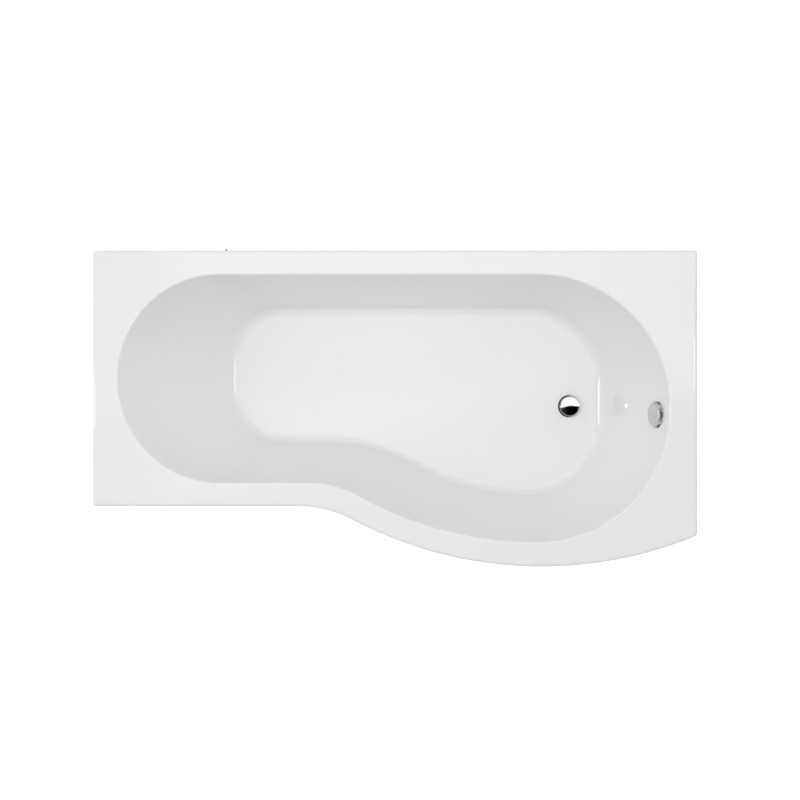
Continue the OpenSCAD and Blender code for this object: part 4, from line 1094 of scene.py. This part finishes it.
# %% Mould the waste's chamber
white_plastic = clouded("white_plastic", 30.0, 4.0, ((0.76, 0.76, 0.74), (0.83, 0.83, 0.82)),
                        (0.34, 0.12), 0.04, grain=700.0, IOR=1.5)
port_z, port_end, port_r, port_bore_r, thread_bore_r = 105.5, 566.4, 16, 10.5, 23.96
port_length = port_end - wx
to_port = shift(wx, wy, port_z) @ Matrix.Rotation(math.radians(90), 4, "Y")
chamber = turned("waste_chamber_plastic", [
    (0, 62.5), (22.3, 62.5), (22.8, 63.2), (22.8, 83.5), (23.9, 85), (23.9, 86.5), (28.9, 86.5),
    (29.9, 87.5), (29.9, 136), (30.6, 136.6), (33.4, 136.6), (34, 137.2), (34, 141), (33.6, 141.6),
    (0, 141.6)], "poles", 96, at_waste)
cut(chamber, turned("port", [(0, 5), (port_r, 5), (port_r, port_length - 0.8), (15.4, port_length),
                             (0, port_length)], "poles", 64, to_port), "UNION")
hollow = turned("hollow", [(0, 60), (20.8, 60), (20, 63.4), (20, 90.5), (thread_bore_r, 90.5),
                           (thread_bore_r, 150), (0, 150)], "poles", 96, at_waste)
cut(chamber, cut(hollow, cylinder(port_bore_r, 5, port_length + 5, to_port, 64), "UNION"))
grips = repeat(beam("grip", (29.3, -1, 93), (31, 1, 134), 0.6), around(range(60, 301, 30), at_waste))
chamber = join(chamber, pipe_thread(65, 83, at_waste), *grips)
dress(chamber, white_plastic, "waste_body")

# %% [markdown]
# On the tap end wall sits the overflow. Its chrome cover is a shallow drum with a generously
# rounded edge, open at the back, with slots round its side that let the water in. Three clips
# inside snap over the threaded insert, which clamps the wall between itself and the housing. The
# cover's chrome is darker and less sharp than that of the other fittings.

# %% Press the overflow's cover
round_r, cover_r, cover_h, thick = 9.2, 38, 12, 2.4
outer = [(0, cover_h), (14, cover_h - 0.05), (24, cover_h - 0.16)]
inner = [(0, cover_h - thick), (24, cover_h - thick)]
for turn in range(90, -1, -9):
    a = math.radians(turn)
    for side_of, r in ((outer, round_r), (inner, round_r - thick)):
        side_of.append((cover_r - round_r + r * math.cos(a), cover_h - 0.3 - round_r + r * math.sin(a)))
outer += [(cover_r, 0.9), (cover_r - 0.4, 0.4), (cover_r - thick + 0.3, 0.4), (cover_r - thick, 0.8)]
cover = turned("overflow_cover_chrome", outer + inner[::-1], "poles", 128)
for slot in repeat(beam("slot", (30, -8, 2), (42, 8, 8.2), 1.4, 3), around(range(0, 360, 60))):
    cut(cover, slot)
cover = join(cover, *repeat(beam("clip", (30, -4, 3.7), (36, 4, 9.9), 0.6), around((30, 150, 270))))
cover.data.transform(at_overflow)
duller = clouded("chrome_cover", 90.0, 4.0, ((0.62, 0.63, 0.64), (0.72, 0.73, 0.74)), (0.30, 0.10),
                 0.002, stretch=(1, 1.6, 1), strength=0.5, Metallic=1.0)
dress(cover, duller, "overflow_cover", angle=35, slot="chrome")

insert_section = [(20.5, 3), (20.9, 3.4), (30.4, 3.4), (31, 2.9), (31, 0.9), (30.6, 0.4), (22.8, 0.4),
                  (22.8, -26.8), (22.3, -27.2), (20.9, -27.2), (20.5, -26.8)]
insert = join(turned("overflow_insert_chrome", insert_section, "loop", 96, at_overflow),
              pipe_thread(-26, -4, at_overflow))
dress(insert, chrome, "overflow_insert")

# %% [markdown]
# Behind the wall the housing takes the insert's thread. It is a short can with a flange against the
# gasket, and a tail that hangs straight down from its side for the hose.

# %% Mould the overflow's housing
out = at_overflow.to_3x3() @ Vector((0, 0, 1))
down, left = Vector((0, 0, -1)), Vector((-1, 0, 0))
tail_length = 45
hose_a = overflow_seat + out * -27.2 * mm + tail_length * mm * down
to_tail = Matrix.Translation(hose_a)
housing = turned("overflow_housing_plastic", [
    (0, -42.2), (26.8, -42.2), (28, -41), (28, -18.4), (28.8, -17.6), (32.3, -17.6), (33, -16.9),
    (33, -13.2), (32.5, -12.6), (0, -12.6)], "poles", 96, at_overflow)
cut(housing, turned("tail", [(0, 0), (15.4, 0), (port_r, 0.7), (port_r, tail_length), (0, tail_length)],
                    "poles", 64, to_tail), "UNION")
cut(housing, cut(cylinder(thread_bore_r, -39.7, 10, at_overflow, 96),
                 cylinder(port_bore_r, -5, 44.9, to_tail, 64), "UNION"))
dress(housing, white_plastic, "overflow_housing")

# %% [markdown]
# A corrugated hose joins the housing to the chamber. It leaves straight down, makes one wide bend
# and goes straight into the port. It has 64 ribs, and is hollow: the rings run along the outside,
# and back through the bore. Its length is measured along its line.

# %% Mould the hose and its nuts
hose_finish = clouded("grey_hose", 45.0, 5.0, ((0.40, 0.41, 0.42), (0.52, 0.53, 0.54)), (0.42, 0.2),
                      0.08, IOR=1.5)
hose_b = Vector((port_end, wy, port_z)) * mm
pull = [hose_a + 31 * mm * down, hose_a + 201 * mm * down,
        hose_b - 141 * mm * left, hose_b - 31 * mm * left]
rib_count, rib_shape, bore_r, sides = 64, (13.4, 13.5, 14.9, 15.4, 15.4, 14.9), 11, 20


def hose_at(t):
    u = 1 - t
    return pull[0] * u ** 3 + pull[1] * 3 * u * u * t + pull[2] * 3 * u * t * t + pull[3] * t ** 3


def heading_at(t):
    return (hose_at(min(1, t + 0.01)) - hose_at(max(0, t - 0.01))).normalized()


def hose_ring(centre, heading, radius):
    across = Vector((0, 1, 0)).cross(heading).normalized()
    up = heading.cross(across)
    turns = [2 * math.pi * (k + 0.5) / sides for k in range(sides)]
    return [centre + radius * mm * (math.cos(a) * across + math.sin(a) * up) for a in turns]


def hose_rings(shape, shares):
    """Rings from end to end, at these shares of the bend, with their sizes taken from shape in turn."""
    bent = [hose_ring(hose_at(t), heading_at(t), shape[k % len(shape)]) for k, t in enumerate(shares)]
    return [hose_ring(hose_a, down, shape[0]), *bent, hose_ring(hose_b, left, shape[0])]


steps = rib_count * len(rib_shape)
outside = hose_rings(rib_shape, [(k + 0.5) / steps for k in range(steps)])
bore = hose_rings([bore_r], [k / 30 for k in range(31)])
hose = skin("overflow_hose_ribbed", outside + bore[::-1], "loop")
dress(hose, hose_finish, "overflow_hose", angle=60)
hose_line = [hose_a] + [hose_at(k / 60) for k in range(61)] + [hose_b]
hose_length = sum((b - a).length for a, b in zip(hose_line, hose_line[1:]))
print("hose", round(hose_length, 4), "m long")

grip_end = 12
nut_section = [(16.06, 0.5), (16.6, 0), (19.3, 0), (20, 0.7), (20, grip_end), (18.3, 16.6), (17.8, 17),
               (14.2, 17), (13.8, 16.6), (13.8, grip_end), (16.06, grip_end)]
nut = join(turned("hose_nut", nut_section, "loop", 72),
           *repeat(beam("grip", (18.9, -1.1, 0.8), (21.1, 1.1, 11.6), 0.7), around(range(0, 360, 30))))
upper = Matrix.Translation(hose_a - grip_end * mm * down) @ Matrix.Rotation(math.pi, 4, "X")
lower = shift(port_end - grip_end, wy, port_z) @ Matrix.Rotation(math.pi / 2, 4, "Y")
for label, copy in zip(("upper", "lower"), repeat(nut, (upper, lower))):
    dress(named(copy, label + "_nut_of_hose"), plastic, label + "_hose_nut")

# %% [markdown]
# The stage is plain: a pale floor and white all round. The floor shows itself a little brighter
# than its paint, so that it stays white in the picture while the bath's shadow still falls on it.

# %% Set the floor and the white room
def plane(name, size, place=Matrix()):
    nothing()
    bpy.ops.mesh.primitive_plane_add(size=1)
    piece = named(bpy.context.object, name)
    piece.data.transform(place @ Matrix.Diagonal((*size, 1, 1)))
    return piece


pale = Finish("pale_floor", Roughness=0.9)
grit = pale.noise(pale.place(), 3.0, 2.0)
pale.feed(Base_Color=pale.blend(grit, (0.80, 0.80, 0.80), (0.84, 0.84, 0.84)))
glow = pale.node("Emission", {}, {"Strength": 1.75}, "Emission")
painted = Reading(pale, pale.shader.outputs[0])
lit = pale.node("MixShader", {}, {0: 0.5 * pale.straight_rays(), 1: painted, 2: glow}, "Shader")
pale.show(lit)
plane("ground", (24, 24)).data.materials.append(pale.material)

room_light = 0.37
world = bpy.data.worlds.new("white_room")
scene.world = world
world.use_nodes = True
strength = room_light + (1 - room_light) * Nodes(world.node_tree).straight_rays()
background = world.node_tree.nodes["Background"]
world.node_tree.links.new(strength.socket, background.inputs["Strength"])
background.inputs["Color"].default_value = (1, 1, 1, 1)
print("floor and white room are set")

# %% [markdown]
# Chrome looks like chrome only when it has something light and something dark to mirror. A studio
# hangs reflectors for that. Here a dark ceiling, a white panel and a black panel hang above, a small
# bright panel hangs high towards the tap end, and a dark wall with one bright strip stands past the
# head end. They are seen by mirrors alone, so they don't light the bath: the acrylic shows them as
# faint sheens, and the two bright ones as thin lines at the foot of its end walls.

# %% Hang the reflectors
def reflector(name, size, place, brightness):
    """A panel that only mirror reflections see. Its brightness may change over it."""
    piece = plane(name, size, place)
    paint = Finish(name)
    paint.show(paint.node("Emission", {}, {"Strength": brightness(paint)}, "Emission"))
    piece.data.materials.append(paint.material)
    piece.visible_camera = piece.visible_diffuse = piece.visible_shadow = False
    piece.visible_transmission = piece.visible_volume_scatter = False


def step(low, high, reading):
    return ((reading - low) / (high - low)).kept()


def band(start, end, soft, reading):
    """One between start and end, nothing outside, with soft edges."""
    return step(start - soft, start, reading) * step(-end - soft, -end, 0 - reading)


def overhead(paint):
    """Dark ceiling, a white panel on it, and a black one on that, with soft edges."""
    here = paint.place()
    x, y = paint.axes(here, "XY")
    cloud = paint.noise(here, 1.4, 3.0)
    from_left = step(-1.10, -0.90, x)
    white = (from_left * step(-2.45, -2.30, 0 - x)
             * step(-1.55, -1.45, y) * step(-1.65, -1.50, 0 - y))
    edge = -0.09 + 0.27 * x
    rise = y - edge.sum("MINIMUM", edge, 0.15 - 0.035 * x)
    black = step(0, 0.10, 0 - rise) * from_left * step(-2.4, -2.3, 0 - x)
    ceiling = 0.085 + 0.20 * step(4.0, 4.4, x) + 0.30 * step(3.2, 3.6, 0 - x)
    return (ceiling * (1 - white) + white * (1 - black) * (1.05 + 0.25 * cloud)
            + white * black * 0.05 * step(-0.6, 0.6, 0 - x))


def bright_strip(paint):
    """Dark wall with one narrow, tall and bright strip."""
    y, z = paint.axes(paint.place(), "YZ")
    return 0.30 + 26.0 * band(-0.05, 0.11, 0.04, y) * band(1.50, 2.25, 0.08, z)


def high_right(paint):
    y, = paint.axes(paint.place(), "Y")
    return 10.0 * band(0.11, 0.29, 0.04, y)


upside_down = Matrix.Rotation(math.pi, 4, "X")
facing_right = Matrix.Rotation(math.radians(90), 4, "Y")
reflector("panel_overhead", (12, 12), Matrix.Translation((0, 0, 4.25)) @ upside_down, overhead)
reflector("panel_left", (3.8, 5.0), Matrix.Translation((-3.4, 0, 1.95)) @ facing_right, bright_strip)
reflector("panel_high_right", (0.8, 0.4), Matrix.Translation((1.85, 0.2, 4.2)) @ upside_down,
          high_right)
print("reflectors hung")

# %% [markdown]
# The bath itself is lit softly, mostly from above, and also from the back and from both ends, with
# the head end's lamp the stronger one, at a level at which a colour renders about as it is written.

# %% Set the lamps
for name, power, size, place in (("broad_lamp_top", 72, 2.4, (0, 0, 4.6)),
                                 ("lamp_back", 21, 2, (0, 3.4, 3.2)),
                                 ("lamp_left", 36, 2, (-3.4, 0, 3.2)),
                                 ("lamp_right", 16, 2, (3.4, 0, 3.2))):
    light = bpy.data.lights.new(name, "AREA")
    light.energy, light.shape, light.size, light.size_y = power, "RECTANGLE", size, size
    piece = bpy.data.objects.new(name, light)
    piece.location = place
    piece.rotation_mode = "QUATERNION"
    piece.rotation_quaternion = (Vector((0, 0, 0.3)) - Vector(place)).to_track_quat("-Z", "Y")
    piece.visible_glossy = False
    scene.collection.objects.link(piece)
print("lamps set")

# %% [markdown]
# The last step sets the colour view to Standard.

# %% Set the colour view
scene.view_settings.view_transform = "Standard"
